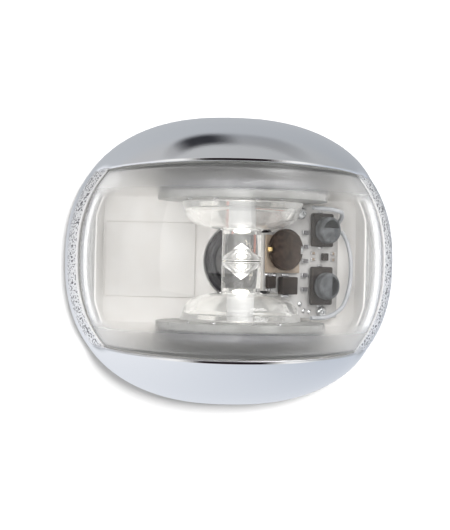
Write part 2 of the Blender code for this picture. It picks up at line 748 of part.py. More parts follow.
def make_choke(mats, holder):
    """A round ferrite drum on a square base, with a terminal in a notch on each side."""
    base = block("choke_base", (CHOKE_X - CHOKE_BASE_HALF_WIDTH, CHOKE_BASE_LOW, GAP),
                 (CHOKE_X + CHOKE_BASE_HALF_WIDTH, CHOKE_BASE_HIGH, CHOKE_BASE_TOP), 0.1)
    add_object("choke_base", base, mats["tan"], holder)
    low = CHOKE_BASE_TOP + GAP
    profile = [(0, low), (CHOKE_RADIUS - 0.2, low), (CHOKE_RADIUS, low + 0.2),
               (CHOKE_RADIUS, CHOKE_TOP - 0.25), (CHOKE_RADIUS - 0.25, CHOKE_TOP),
               (0, CHOKE_TOP)]
    core = add_object("choke_core", turned("choke_core", profile,
                                           depth_frame(CHOKE_X, CHOKE_Z), 32),
                      mats["ferrite"], holder)
    for side, sign, finish in (("left", -1, "gold"), ("right", 1, "steel")):
        middle = CHOKE_X + sign * CHOKE_RADIUS
        notch = block(f"choke_notch_{side}", (middle - 0.9, CHOKE_Z - 0.85, low - 1.0),
                      (middle + 0.9, CHOKE_Z + 0.85, CHOKE_TOP + 1.0))
        boolean(core, notch, "DIFFERENCE")
        inner_x = middle - sign * (0.9 - GAP)
        outer_x = middle + sign * 0.1
        tab = block(f"choke_terminal_{side}",
                    (min(inner_x, outer_x), CHOKE_Z - 0.5, low),
                    (max(inner_x, outer_x), CHOKE_Z + 0.5, CHOKE_TOP - 0.3), 0.08)
        add_object(f"choke_terminal_{side}", tab, mats[finish], holder)


def make_capacitor(name, x, z, width, height, mats, holder):
    base_top = GAP + 1.1
    base = block(f"{name}_capacitor_base", (x - width / 2, z - height / 2, GAP),
                 (x + width / 2, z + height / 2, base_top), 0.3)
    add_object(f"{name}_capacitor_base", base, mats["package"], holder)
    radius = CAPACITOR_RADIUS
    low = base_top + GAP
    top = low + 2.6
    profile = [(0, low), (radius - 0.3, low), (radius, low + 0.3), (radius, top - 0.4),
               (radius - 0.4, top), (0, top)]
    mesh = turned(f"{name}_capacitor_can", profile, depth_frame(x, z), 24)
    add_object(f"{name}_capacitor_can", mesh, mats["aluminium"], holder)


# ---------------------------------------------------------------- wires


def smooth_route(stations, steps=4):
    """Points on a smooth curve through the stations (Catmull-Rom)."""
    ends = [stations[0] * 2 - stations[1]] + stations + [stations[-1] * 2 - stations[-2]]
    route = []
    for i in range(1, len(ends) - 2):
        a, b, c, d = ends[i - 1], ends[i], ends[i + 1], ends[i + 2]
        for k in range(steps):
            t = k / steps
            route.append(0.5 * ((2 * b) + (c - a) * t + (2 * a - 5 * b + 4 * c - d) * t * t
                                + (3 * b - a - 3 * c + d) * t ** 3))
    route.append(stations[-1])
    return route


def make_wire(name, stations, radius, mat):
    """An insulated wire through stations given as (x, z, depth)."""
    curve = bpy.data.curves.new(name, "CURVE")
    curve.dimensions = "3D"
    curve.resolution_u = 1
    curve.render_resolution_u = 0
    curve.bevel_depth = radius * MM
    curve.bevel_resolution = 2
    curve.use_fill_caps = True
    spline = curve.splines.new("POLY")
    route = smooth_route([point(*station) for station in stations])
    spline.points.add(len(route) - 1)
    for target, place in zip(spline.points, route):
        target.co = (*place, 1.0)
    add_object(name, curve, mat)


SUPPLY_RED = [(-0.8, 0.6, 5.9), (-1.0, 2.6, 7.0), (-1.0, 6.8, 7.0), (0.0, 9.6, 6.2),
              (3.5, 11.2, 6.1), (7.5, 11.3, 6.4), (11.0, 10.3, 8.6), (13.2, 9.2, 11.2)]
SUPPLY_BLACK = [(2.6, -1.6, 5.9), (2.8, -3.2, 7.6), (3.8, -4.2, 9.6), (5.4, -4.2, 11.8),
                (7.0, -3.6, 13.8), (8.0, -3.0, 14.9)]
LEAD_UPPER = [(24.6, 9.2, 8.7), (25.2, 10.4, 10.2), (24.8, 11.6, 12.2), (21.8, 12.1, 14.8),
              (17.6, 12.3, 18.0)]
LEAD_LOWER = [(24.6, 7.4, 8.7), (25.8, 6.6, 9.6), (27.0, 3.5, 10.4), (27.5, -0.5, 10.9),
              (27.2, -5.0, 11.4), (25.6, -9.6, 12.4), (22.0, -12.0, 14.8), (17.6, -12.3, 18.0)]


def make_wires(mats):
    make_wire("supply_wire_red", SUPPLY_RED, 0.6, mats["red"])
    make_wire("supply_wire_black", SUPPLY_BLACK, 0.6, mats["black"])
    make_wire("led_lead_upper", LEAD_UPPER, 0.5, mats["pale"])
    make_wire("led_lead_lower", LEAD_LOWER, 0.5, mats["pale"])


# ---------------------------------------------------------------- assembly


def make_materials():
    return {
        "chrome": material("chrome", (0.78, 0.80, 0.83), 0.08, metallic=1.0),
        "clear": material("clear_plastic", (0.95, 0.96, 0.97), 0.03, transmission=1.0),
        "foam": material("foam_rubber", (0.03, 0.03, 0.03), 0.9),
        "rubber": material("seal_rubber", (0.04, 0.04, 0.045), 0.5),
        "silicone": material("white_silicone", (0.75, 0.75, 0.74), 0.4),
        "white": material("white_plastic", (0.86, 0.86, 0.84), 0.35),
        "base": material("base_plastic", (0.80, 0.80, 0.78), 0.45),
        "potting": material("potting_compound", (0.02, 0.02, 0.02), 0.2),
        "aluminium": material("aluminium", (0.75, 0.76, 0.78), 0.35, metallic=1.0),
        "led": material("led_resin", (0.95, 0.93, 0.80), 0.3),
        "board": material("board_white", (0.78, 0.80, 0.80), 0.4),
        "package": material("moulded_package", (0.035, 0.032, 0.03), 0.5),
        "ceramic": material("resistor_ceramic", (0.12, 0.12, 0.13), 0.5),
        "ferrite": material("ferrite", (0.09, 0.07, 0.06), 0.6),
        "tan": material("tan_plastic", (0.62, 0.50, 0.38), 0.5),
        "gold": material("gold_terminal", (0.85, 0.66, 0.32), 0.3, metallic=1.0),
        "steel": material("plated_steel", (0.70, 0.71, 0.72), 0.3, metallic=1.0),
        "red": material("red_insulation", (0.45, 0.10, 0.05), 0.45),
        "black": material("black_insulation", (0.03, 0.03, 0.03), 0.45),
        "pale": material("white_insulation", (0.62, 0.63, 0.65), 0.45),
    }


def main():
    clear_scene()
    mats = make_materials()
    slider = bpy.data.objects.new("cover_slide", None)
    bpy.context.scene.collection.objects.link(slider)
    make_mounting_gasket(mats["foam"])
    make_base_plate(mats["base"])
    make_cover(mats["chrome"], slider)
    make_lens(mats["clear"])
    make_lens_gasket(mats["silicone"])
    make_housing(mats["white"])
    make_grommet(mats["rubber"])
    make_potting(mats["potting"])
    make_optics(mats)
    make_driver_board(mats)
    make_wires(mats)


main()
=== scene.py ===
"""Finished look of the compact navigation light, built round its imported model.

Lengths are in millimetres unless a name says otherwise, and become metres in point(). The light
hangs on a wall at y = 0 and faces -Y. "Depth" is the distance in front of the wall, so a depth of
d is y = -d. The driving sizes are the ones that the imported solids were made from.
"""

from math import acos, asin, copysign, cos, hypot, pi, radians, sin, tan

import bmesh
import bpy
from mathutils import Matrix, Vector, noise


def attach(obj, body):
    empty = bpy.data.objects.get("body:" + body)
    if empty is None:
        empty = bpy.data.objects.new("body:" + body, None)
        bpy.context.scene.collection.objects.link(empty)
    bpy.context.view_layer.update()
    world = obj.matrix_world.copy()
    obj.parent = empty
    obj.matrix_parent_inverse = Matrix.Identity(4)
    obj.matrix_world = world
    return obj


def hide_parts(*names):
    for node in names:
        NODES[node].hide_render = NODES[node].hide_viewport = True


MM = 0.001
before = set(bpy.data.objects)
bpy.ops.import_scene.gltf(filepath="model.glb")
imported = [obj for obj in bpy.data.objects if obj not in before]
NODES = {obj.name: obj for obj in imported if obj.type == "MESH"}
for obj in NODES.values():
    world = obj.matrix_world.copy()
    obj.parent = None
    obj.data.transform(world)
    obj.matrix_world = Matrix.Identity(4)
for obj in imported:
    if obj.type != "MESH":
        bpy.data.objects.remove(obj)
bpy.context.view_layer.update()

# ---- driving sizes

OUTLINE_POWER = 2.35
BASE_HALF_WIDTH, BASE_HALF_HEIGHT = 38.1, 33.2
COVER_BACK, COVER_WALL = 0.5, 1.6
SHOULDER_HALF_WIDTH, SHOULDER_HALF_HEIGHT, SHOULDER_DEPTH = 36.3, 30.4, 11.3
WINDOW_HALF_WIDTH, WINDOW_OUTLINE_HEIGHT = 34.5, 29.8
WINDOW_CORNER_HEIGHT, WINDOW_CROWN = 19.6, 0.9
WINDOW_SIDE_DEPTH = 12.9
GRAIN_START = 0.77  # how far up the side wall the grained strip begins
LIP_DEPTH, LIP_THICKNESS, LIP_RADIUS = 42.8, 2.0, 0.55
CAP_SWEEP_MIDDLE, CAP_SWEEP_CORNER = radians(52), radians(75)
SIDE_SWEEP = radians(65)

LENS_CLEARANCE, LENS_WALL, LENS_END_WALL = 0.35, 1.5, 0.8
LENS_BACK, LENS_SIDE_DEPTH, LENS_FRONT_DEPTH, LENS_BARREL = 5.4, 12.3, 43.2, 1.2
FLANGE_WIDTH, FLANGE_FRONT = 1.6, 6.9

WALL_DEPTH, WALL_BACK, WALL_HALF_WIDTH, WALL_HALF_HEIGHT = 5.4, 4.4, 31.4, 14.7
FLARE_DEPTH, FLARE_HALF_WIDTH, FLARE_HALF_HEIGHT, FLARE_CORNER = 12.0, 31.9, 17.7, 8.0
FLARE_WALL, HOUSING_GAP = 0.4, 0.6
PANEL_LEFT, PANEL_RIGHT, PANEL_HALF_HEIGHT, PANEL_FRONT = -29.0, -8.0, 8.6, 5.9

GROMMET_X, GROMMET_RADIUS, GROMMET_CUP_RADIUS = 3.3, 9.0, 6.7
GROMMET_NECK_RADIUS, GROMMET_BORE_RADIUS, GROMMET_FRONT = 6.5, 4.6, 6.1
GASKET_THICKNESS, PLATE_FRONT = 1.2, 4.1

OPTIC_X, OPTIC_DEPTH, STEM_RADIUS, STEM_TOP = 1.8, 19.5, 4.3, 6.7
PIT_RADIUS, PIT_HEIGHT, HALF_GAP = 3.7, 4.0, 0.15
BOWL_START_RADIUS, BOWL_START_HEIGHT = 4.9, 7.0
DISH_SHOULDER_RADIUS, DISH_SHOULDER_HEIGHT = 12.6, 10.9
DISH_RIM_RADIUS, DISH_RIM_HEIGHT, DISH_WALL = 13.4, 13.0, 1.2
WELL_RADIUS, WELL_TOP, WELL_FLOOR = 3.4, 7.6, 5.9
LED_POST_RADIUS, LED_POST_BOTTOM, LED_HEIGHT, LED_SIZE = 3.0, 7.8, 6.2, 4.0
LED_BOARD_BOTTOM, LED_BOARD_TOP, LED_BOARD_RADIUS = 13.3, 14.9, 18.6
SPREADER_BOTTOM, SPREADER_BACK = 15.2, 12.7

BOARD_ANGLE, BOARD_X, BOARD_DEPTH = radians(33), 15.8, 12.8
BOARD_THICKNESS = 1.0
BOARD_SCREWS = [(-0.6, 11.1), (6.0, -11.2)]
BOARD_POST_RADIUS, BOARD_POST_DROP = 1.6, 1.5
RESISTOR_X, RESISTOR_TOP, RESISTOR_PITCH = 0.7, 6.8, 3.2
CAPACITOR_X, CAPACITOR_RADIUS = 5.3, 3.0
SMALL_GAP = 0.02  # how far small parts stand off the face that they sit on

# ---- meshes


def point(x, z, depth):
    return Vector((x * MM, -depth * MM, z * MM))


def finish_mesh(bm, name, sharp=35.0):
    bmesh.ops.recalc_face_normals(bm, faces=bm.faces[:])
    mesh = bpy.data.meshes.new(name)
    bm.to_mesh(mesh)
    bm.free()
    mesh.shade_smooth()
    mesh.set_sharp_from_angle(angle=radians(sharp))
    return mesh


def in_scene(name, data):
    thing = bpy.data.objects.new(name, data)
    bpy.context.scene.collection.objects.link(thing)
    return thing


def add_piece(name, mesh, look, body="base", replaces=()):
    """Put a finished mesh in the scene, riding on a body of the frame.
    """
    piece = in_scene(name, mesh)
    keys = look if isinstance(look, list) else [look]
    for key in keys:
        mesh.materials.append(LOOKS[key])
    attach(piece, body)
    if replaces:
        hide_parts(*replaces)
    return piece


def skin(bm, rings):
    """Faces between neighbouring rings of matching vertices; a ring of one vertex is a pole."""
    for first, second in zip(rings, rings[1:]):
        count = max(len(first), len(second))
        for i in range(count):
            j = (i + 1) % count
            corners = [first[i % len(first)], first[j % len(first)]]
            corners += [second[j % len(second)], second[i % len(second)]]
            bm.faces.new(list(dict.fromkeys(corners)))


def loft(name, loops, sharp=35.0):
    """A closed solid through matching loops of points, with a flat face at each end."""
    bm = bmesh.new()
    rings = [[bm.verts.new(p) for p in loop] for loop in loops]
    skin(bm, rings)
    bm.faces.new(rings[0])
    bm.faces.new(rings[-1])
    return finish_mesh(bm, name, sharp)


def turned(name, profile, place, segments=96, closed=False, sharp=35.0):
    """A solid of revolution from (radius, height) points along place's local Z."""
    bm = bmesh.new()
    rings = []
    for radius, height in profile:
        if radius == 0:
            rings.append([bm.verts.new(place @ Vector((0, 0, height * MM)))])
            continue
        ring = []
        for i in range(segments):
            angle = 2 * pi * i / segments
            local = Vector((cos(angle) * radius, sin(angle) * radius, height)) * MM
            ring.append(bm.verts.new(place @ local))
        rings.append(ring)
    skin(bm, rings + rings[:1] if closed else rings)
    return finish_mesh(bm, name, sharp)


def rounded(profile, radius, closed=False):
    """The same outline with each inner corner replaced by a short arc-like curve."""
    steps = 4
    points = [Vector(p) for p in profile]
    count = len(points)
    result = []
    for i, corner in enumerate(points):
        if not closed and i in (0, count - 1):
            result.append(corner)
            continue
        before, after = points[i - 1], points[(i + 1) % count]
        reach = min(radius, (before - corner).length * 0.45, (after - corner).length * 0.45)
        start = corner + (before - corner).normalized() * reach
        end = corner + (after - corner).normalized() * reach
        for k in range(steps + 1):
            t = k / steps
            result.append(start * (1 - t) ** 2 + corner * 2 * t * (1 - t) + end * t ** 2)
    return [tuple(p) for p in result]


def depth_frame(x, z):
    """A frame at (x, z) whose local Z runs towards the front."""
    return Matrix.Translation(point(x, z, 0)) @ Matrix.Rotation(radians(90), 4, "X")


def optic_frame(sign):
    place = Matrix.Translation(point(OPTIC_X, 0.0, OPTIC_DEPTH))
    if sign < 0:
        place = place @ Matrix.Rotation(pi, 4, "X")
    return place


BOARD = Matrix.Translation(point(BOARD_X, 0.0, BOARD_DEPTH)) @ Matrix.Rotation(BOARD_ANGLE, 4, "Z")


def block(name, low, high, bevel, place=None, segments=3):
    """A box with rounded edges from its low to its high corner, (x, z, depth)."""
    bm = bmesh.new()
    bmesh.ops.create_cube(bm, size=1.0)
    size = [abs(b - a) * MM for a, b in zip(low, high)]
    middle = [(a + b) / 2 for a, b in zip(low, high)]
    bmesh.ops.scale(bm, vec=(size[0], size[2], size[1]), verts=bm.verts)
    bmesh.ops.translate(bm, vec=point(*middle), verts=bm.verts)
    bmesh.ops.bevel(bm, geom=bm.edges[:], offset=bevel * MM, segments=segments,
                    affect="EDGES", profile=0.5)
    if place is not None:
        bmesh.ops.transform(bm, matrix=place, verts=bm.verts)
    return finish_mesh(bm, name, 50.0)


def refined_mesh(node, bevel, segments):
    """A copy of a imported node's shape with its flat faces merged and its edges rounded."""
    bm = bmesh.new()
    bm.from_mesh(NODES[node].data)
    bmesh.ops.remove_doubles(bm, verts=bm.verts, dist=2e-6)
    bmesh.ops.dissolve_limit(bm, angle_limit=radians(1.5), verts=bm.verts, edges=bm.edges)
    sharp = [e for e in bm.edges if len(e.link_faces) == 2
             and e.calc_face_angle(0.0) > radians(35)]
    bmesh.ops.bevel(bm, geom=sharp, offset=bevel * MM, segments=segments, affect="EDGES",
                    profile=0.5, clamp_overlap=True)
    bmesh.ops.triangulate(bm, faces=[f for f in bm.faces if len(f.verts) > 4])
    return finish_mesh(bm, f"{node}_fine", 35.0)


def refine(node, look, bevel, segments=2):
    add_piece(f"{node}_fine", refined_mesh(node, bevel, segments), look, replaces=[node])


def smooth_route(stations, steps=8):
    """Points on a smooth curve through the stations (Catmull-Rom)."""
    ends = [stations[0] * 2 - stations[1]] + stations + [stations[-1] * 2 - stations[-2]]
    route = []
    for i in range(1, len(ends) - 2):
        a, b, c, d = ends[i - 1], ends[i], ends[i + 1], ends[i + 2]
        for k in range(steps):
            t = k / steps
            route.append(0.5 * ((2 * b) + (c - a) * t + (2 * a - 5 * b + 4 * c - d) * t * t
                                + (3 * b - a - 3 * c + d) * t ** 3))
    route.append(stations[-1])
    return route


def tube(name, route, radius, look, replaces=()):
    """A round wire along a route of points in metres."""
    curve = bpy.data.curves.new(name, "CURVE")
    curve.dimensions = "3D"
    curve.bevel_depth = radius * MM
    curve.bevel_resolution = 4
    curve.use_fill_caps = True
    spline = curve.splines.new("POLY")
    spline.points.add(len(route) - 1)
    for target, place in zip(spline.points, route):
        target.co = (*place, 1.0)
    holder = in_scene(f"{name}_curve", curve)
    bpy.context.view_layer.update()
    shape = holder.evaluated_get(bpy.context.evaluated_depsgraph_get())
    bm = bmesh.new()
    bm.from_mesh(shape.to_mesh())
    bmesh.ops.remove_doubles(bm, verts=bm.verts, dist=1e-7)
    mesh = finish_mesh(bm, name, 50.0)
    bpy.data.objects.remove(holder)
    bpy.data.curves.remove(curve)
    add_piece(name, mesh, look, replaces=replaces)


# ---- materials


class Nodes:
    """Small helpers that write a number or colour as a function of others."""

    def __init__(self, tree):
        self.tree = tree

    def node(self, kind, inputs, **settings):
        """A new node; each input is a number, a colour or another node's output."""
        node = self.tree.nodes.new(f"ShaderNode{kind}")
        for name, value in settings.items():
            setattr(node, name, value)
        for key, value in inputs.items():
            socket = node.inputs[key]
            if isinstance(value, (int, float, tuple)):
                socket.default_value = value
            else:
                self.tree.links.new(value, socket)
        return node

    def math(self, operation, a, b=0.0):
        return self.node("Math", {0: a, 1: b}, operation=operation).outputs["Value"]

    def span(self, source, low, high, out_low=0.0, out_high=1.0, kind="LINEAR"):
        return self.node("MapRange", {"Value": source, "From Min": low, "From Max": high,
                                      "To Min": out_low, "To Max": out_high},
                         interpolation_type=kind).outputs["Result"]

    def step(self, value, low, high):
        """0 below low and 1 above high, smooth between them."""
        return self.span(value, low, high, kind="SMOOTHSTEP")

    def band(self, value, low, high, soft):
        rise = self.step(value, low - soft, low + soft)
        fall = self.step(value, high - soft, high + soft)
        return self.math("SUBTRACT", rise, fall)

    def mix(self, amount, first, second):
        node = self.tree.nodes.new("ShaderNodeMix")
        node.data_type = "RGBA"
        for socket, value in (("Factor", amount), ("A", first), ("B", second)):
            target = next(s for s in node.inputs if s.name == socket
                          and s.type == ("VALUE" if socket == "Factor" else "RGBA"))
            if isinstance(value, tuple):
                target.default_value = (*value, 1.0)
            elif isinstance(value, (int, float)):
                target.default_value = value
            else:
                self.tree.links.new(value, target)
        return next(s for s in node.outputs if s.type == "RGBA")

    def parts(self, vector):
        return self.node("SeparateXYZ", {"Vector": vector}).outputs


class Look(Nodes):
    """A Principled material, with procedural detail added by the methods below."""

    def __init__(self, name, colour, roughness, metallic=0.0, **sockets):
        self.mat = bpy.data.materials.new(name)
        self.mat.use_nodes = True
        super().__init__(self.mat.node_tree)
        self.shader = self.tree.nodes["Principled BSDF"]
        self.colour = colour
        values = {"Base Color": (*colour, 1.0), "Roughness": roughness, "Metallic": metallic}
        values.update({key.replace("_", " "): value for key, value in sockets.items()})
        for socket, value in values.items():
            self.shader.inputs[socket].default_value = value
        self.place = self.tree.nodes.new("ShaderNodeTexCoord").outputs["Object"]
        self.bump = None

    def noise(self, size, detail=3.0, stretch=(1, 1, 1)):
        """Noise whose blotches are about size millimetres across."""
        spots = self.node("Mapping", {"Vector": self.place, "Scale": stretch}).outputs["Vector"]
        return self.node("TexNoise", {"Vector": spots, "Scale": 1.0 / (size * MM),
                                      "Detail": detail}).outputs["Fac"]

    def cells(self, size):
        return self.node("TexVoronoi", {"Vector": self.place,
                                        "Scale": 1.0 / (size * MM)}).outputs["Distance"]

    def height_off_middle(self):
        """How far a spot is above or below the middle of the light, in metres."""
        return self.math("ABSOLUTE", self.parts(self.place)["Z"])

    def drive(self, socket, source):
        self.tree.links.new(source, self.shader.inputs[socket])

    def lit(self, strength):
        """Emission whose strength varies."""
        self.drive("Emission Strength", strength)
        return self.mat

    def mottle(self, other, source, low=0.35, high=0.65):
        """Blend the base colour towards another one where the source is high."""
        ramp = self.node("ValToRGB", {"Fac": source})
        for stop, place, colour in zip(ramp.color_ramp.elements, (low, high),
                                       (self.colour, other)):
            stop.position = place
            stop.color = (*colour, 1.0)
        self.drive("Base Color", ramp.outputs["Color"])
        return self

    def gloss(self, source, low, high):
        self.drive("Roughness", self.span(source, 0.3, 0.7, low, high))
        return self

    def relief(self, source, height):
        """Bump of the given height in millimetres; calls add up."""
        node = self.node("Bump", {"Distance": height * MM, "Height": source})
        if self.bump is not None:
            self.tree.links.new(self.bump, node.inputs["Normal"])
        self.bump = node.outputs["Normal"]
        self.drive("Normal", self.bump)
        return self


def chrome_look():
    look = Look("polished_chrome", (0.86, 0.87, 0.89), 0.03, 1.0)
    look.relief(look.noise(0.40, 2.0), 0.009)
    look.relief(look.noise(9.0, 1.0), 0.05)
    return look.gloss(look.noise(2.5, 4.0), 0.02, 0.07).mat


def grained_chrome_look():
    """Plating over a coarse spark-eroded grain, with dark pits in it."""
    look = Look("grained_chrome", (0.98, 0.985, 1.0), 0.45, 0.75)
    look.mottle((0.16, 0.16, 0.18), look.noise(0.42, 3.0), 0.50, 0.62)
    look.relief(look.noise(0.30, 3.0), 0.10)
    look.relief(look.cells(0.35), 0.04)
    return look.gloss(look.noise(0.2, 2.0), 0.35, 0.55).mat


def lens_look():
    """Clear in the middle and finely frosted towards its ends."""
    look = Look("clear_polycarbonate", (0.985, 0.985, 0.98), 0.0, IOR=1.46,
                Transmission_Weight=1.0)
    clear_to, frosted_from = 12.6 * MM, 16.0 * MM
    look.drive("Roughness", look.span(look.height_off_middle(), clear_to, frosted_from, 0.0, 0.36))
    look.relief(look.noise(2.4, 2.0, (1, 1, 0.08)), 0.002)
    return look.mat


def guide_look(name="clear_acrylic"):
    """Acrylic with a faint painted glow all through, standing in for the LEDs' light that it
    carries.
    """
    look = Look(name, (0.98, 0.98, 0.97), 0.03, IOR=1.48, Transmission_Weight=1.0,
                Emission_Color=(1.0, 0.99, 0.96, 1.0), Emission_Strength=0.07)
    look.relief(look.noise(1.1, 2.0), 0.004)
    look.gloss(look.noise(2.0), 0.02, 0.12)
    return look


def cone_look():
    """The guides' inner cones, which turn the light outwards, with a painted glow burning white at
    the axis.
    """
    look = guide_look("lit_cone")
    parts = look.parts(look.place)
    squares = []
    for axis, middle in (("X", OPTIC_X), ("Y", -OPTIC_DEPTH)):
        shift = look.math("SUBTRACT", parts[axis], middle * MM)
        squares.append(look.math("MULTIPLY", shift, shift))
    squared = look.math("ADD", *squares)
    # painted glow: emission is strongest near the optic axis and fades out by edge, standing in for
    # light gathered in the cones
    core, edge = (0.45 * MM) ** 2, (1.35 * MM) ** 2
    return look.lit(look.span(squared, core, edge, 2.4, 0.05))


def seam_look():
    """The ground rims where the two guides meet, with a painted glow standing in for the light they
    catch.
    """
    look = guide_look("ground_rim")
    look.gloss(look.noise(0.4), 0.45, 0.65)
    # painted glow on the rims
    look.shader.inputs["Emission Strength"].default_value = 0.8
    return look.mat


def post_look():
    """A white LED post with a painted glow: bright at its LED's end and plain at the board."""
    look = Look("lit_post", (0.70, 0.70, 0.70), 0.35, Emission_Color=(1.0, 0.99, 0.96, 1.0))
    look.mottle((0.60, 0.60, 0.60), look.noise(0.25))
    # painted glow: emission falls from 0.45 at the LED's height to nothing 10 mm off the middle
    return look.lit(look.span(look.height_off_middle(), LED_HEIGHT * MM, 10.0 * MM, 0.45, 0.0))


def plain_look(name, colour, other, roughness, grain, height, metallic=0.0, **sockets):
    """A moulded, coated or metal surface with faint colour, gloss and grain variation."""
    colour, other = (c if isinstance(c, tuple) else (c, c, c) for c in (colour, other))
    look = Look(name, colour, roughness, metallic, **sockets)
    look.mottle(other, look.noise(grain * 6, 4.0))
    spread = 0.08
    look.gloss(look.noise(grain * 3), max(0.02, roughness - spread), roughness + spread)
    return look.relief(look.noise(grain, 3.0), height).mat


def emitter_look():
    look = Look("lit_phosphor", (1.0, 0.95, 0.80), 0.3, Emission_Color=(1.0, 0.96, 0.88, 1.0),
                Emission_Strength=6.0)
    look.mottle((1.0, 0.85, 0.45), look.noise(0.4))
    return look.relief(look.noise(0.3), 0.01).mat


def can_look():
    """Dark lacquer over a brushed capacitor can."""
    look = Look("capacitor_can", (0.07, 0.074, 0.078), 0.55, 0.2, Specular_IOR_Level=0.25)
    look.mottle((0.15, 0.158, 0.165), look.noise(1.6, 2.0))
    return look.relief(look.noise(0.2, 2.0, (1, 1, 0.2)), 0.01).mat


# material, colour, mottling, roughness, grain in mm, relief in mm, metallic; a lone number is grey
PLAIN_LOOKS = {
    "satin": ("satin_chrome", 0.98, (0.92, 0.92, 0.93), 0.5, 0.3, 0.01, 0.5),
    "inside": ("unplated_inside", 0.82, 0.75, 0.45, 0.5, 0.01),
    "silicone": ("white_silicone", (0.70, 0.70, 0.69), (0.62, 0.62, 0.61), 0.42, 0.6, 0.02),
    "spreader": ("heat_spreader", (0.34, 0.34, 0.35), (0.22, 0.22, 0.23), 0.45, 0.5, 0.02, 0.6),
    "white": ("white_housing", (0.90, 0.885, 0.86), (0.87, 0.85, 0.82), 0.38, 0.7, 0.010),
    "base": ("white_base", (0.78, 0.78, 0.76), (0.72, 0.72, 0.70), 0.45, 0.5, 0.015),
    "foam": ("foam_rubber", 0.018, 0.045, 0.85, 0.35, 0.12),
    "rubber": ("black_rubber", (0.012, 0.012, 0.014), (0.03, 0.03, 0.034), 0.30, 0.9, 0.03),
    "potting": ("potting_compound", (0.018, 0.016, 0.015), (0.06, 0.055, 0.05), 0.16, 0.8, 0.16),
    "tinned": ("tinned_strand", (0.92, 0.86, 0.72), (0.98, 0.96, 0.92), 0.22, 0.3, 0.02, 1.0),
    "led": ("led_package", (0.90, 0.88, 0.80), (0.80, 0.75, 0.60), 0.35, 0.3, 0.01),
    "board": ("white_solder_resist", (0.56, 0.55, 0.54), (0.44, 0.43, 0.42), 0.34, 0.9, 0.02),
    # painted shade: the LED boards' white resist is a darker grey than the driver board's, for
    # boards seen from below
    "led_board": ("shaded_led_board_resist", (0.40, 0.40, 0.39), (0.28, 0.28, 0.27), 0.32, 0.9, 0.02),
    "package": ("moulded_package", (0.020, 0.015, 0.013), (0.036, 0.027, 0.022), 0.5, 0.22, 0.03),
    "ceramic": ("resistor_glaze", (0.10, 0.10, 0.11), (0.16, 0.15, 0.15), 0.4, 0.2, 0.01),
    "ferrite": ("sintered_ferrite", (0.022, 0.015, 0.012), (0.062, 0.042, 0.031), 0.55, 0.16, 0.05),
    "tan": ("tan_base", (0.38, 0.31, 0.24), (0.28, 0.22, 0.17), 0.5, 0.4, 0.02),
    "gold": ("gold_plate", (0.90, 0.62, 0.25), (0.95, 0.74, 0.40), 0.24, 0.3, 0.02, 1.0),
    "steel": ("plated_steel", (0.72, 0.73, 0.74), (0.58, 0.59, 0.60), 0.26, 0.3, 0.015, 1.0),
    "solder": ("solder", (0.78, 0.78, 0.80), (0.60, 0.60, 0.62), 0.24, 0.35, 0.05, 1.0),
    "mark": ("printed_mark", (0.010, 0.010, 0.011), 0.018, 0.6, 0.3, 0.01),
    "red": ("red_insulation", (0.42, 0.075, 0.035), (0.50, 0.14, 0.07), 0.4, 0.5, 0.02),
    "black": ("black_insulation", 0.015, 0.035, 0.4, 0.5, 0.02),
    "pale": ("white_insulation", (0.50, 0.51, 0.53), (0.42, 0.43, 0.45), 0.4, 0.5, 0.02),
}
MORE_SOCKETS = {
    # painted glow: a faint emission on the cover's unplated inside stands in for light inside the
    # cover
    "inside": {"Emission_Color": (1.0, 1.0, 1.0, 1.0), "Emission_Strength": 0.10},
    "package": {"Specular_IOR_Level": 0.2},
    "ferrite": {"Specular_IOR_Level": 0.2},
    "mark": {"Specular_IOR_Level": 0.15},
}


def make_looks():
    looks = {key: plain_look(*values, **MORE_SOCKETS.get(key, {}))
             for key, values in PLAIN_LOOKS.items()}
    looks.update(
        chrome=chrome_look(), grained=grained_chrome_look(), lens=lens_look(),
        clear=guide_look().mat, cone=cone_look(), seam=seam_look(), post=post_look(),
        phosphor=emitter_look(), can=can_look())
    return looks


LOOKS = make_looks()


# ---- outlines


def superellipse_x(z, half_width, half_height):
    share = max(0.0, 1.0 - (abs(z) / half_height) ** OUTLINE_POWER)
    return half_width * share ** (1 / OUTLINE_POWER)


def window_x(z):
    return superellipse_x(z, WINDOW_HALF_WIDTH, WINDOW_OUTLINE_HEIGHT)


WINDOW_CORNER_X = window_x(WINDOW_CORNER_HEIGHT)


def window_z(x):
    return WINDOW_CORNER_HEIGHT + WINDOW_CROWN * (1 - (x / WINDOW_CORNER_X) ** 2)


# ---- chrome cover

MAIN_STEPS = 30  # along a meridian, from the back edge to the lip or the shoulder
EDGE_STEPS = 14  # round the rolled lip, or over the grained strip
STRIP_FIRST, STRIP_LAST = 2, 9  # the edge steps that are grained beside the window
STRIP_BEVEL = 0.85


def bend(a, b, c, steps, weight=1.0):
    """Points from a to c round the corner b; the sine of half its angle gives an arc."""
    for k in range(1, steps + 1):
        t = k / steps
        first, middle, last = (1 - t) ** 2, 2 * t * (1 - t) * weight, t ** 2
        yield (a * first + b * middle + c * last) / (first + middle + last)


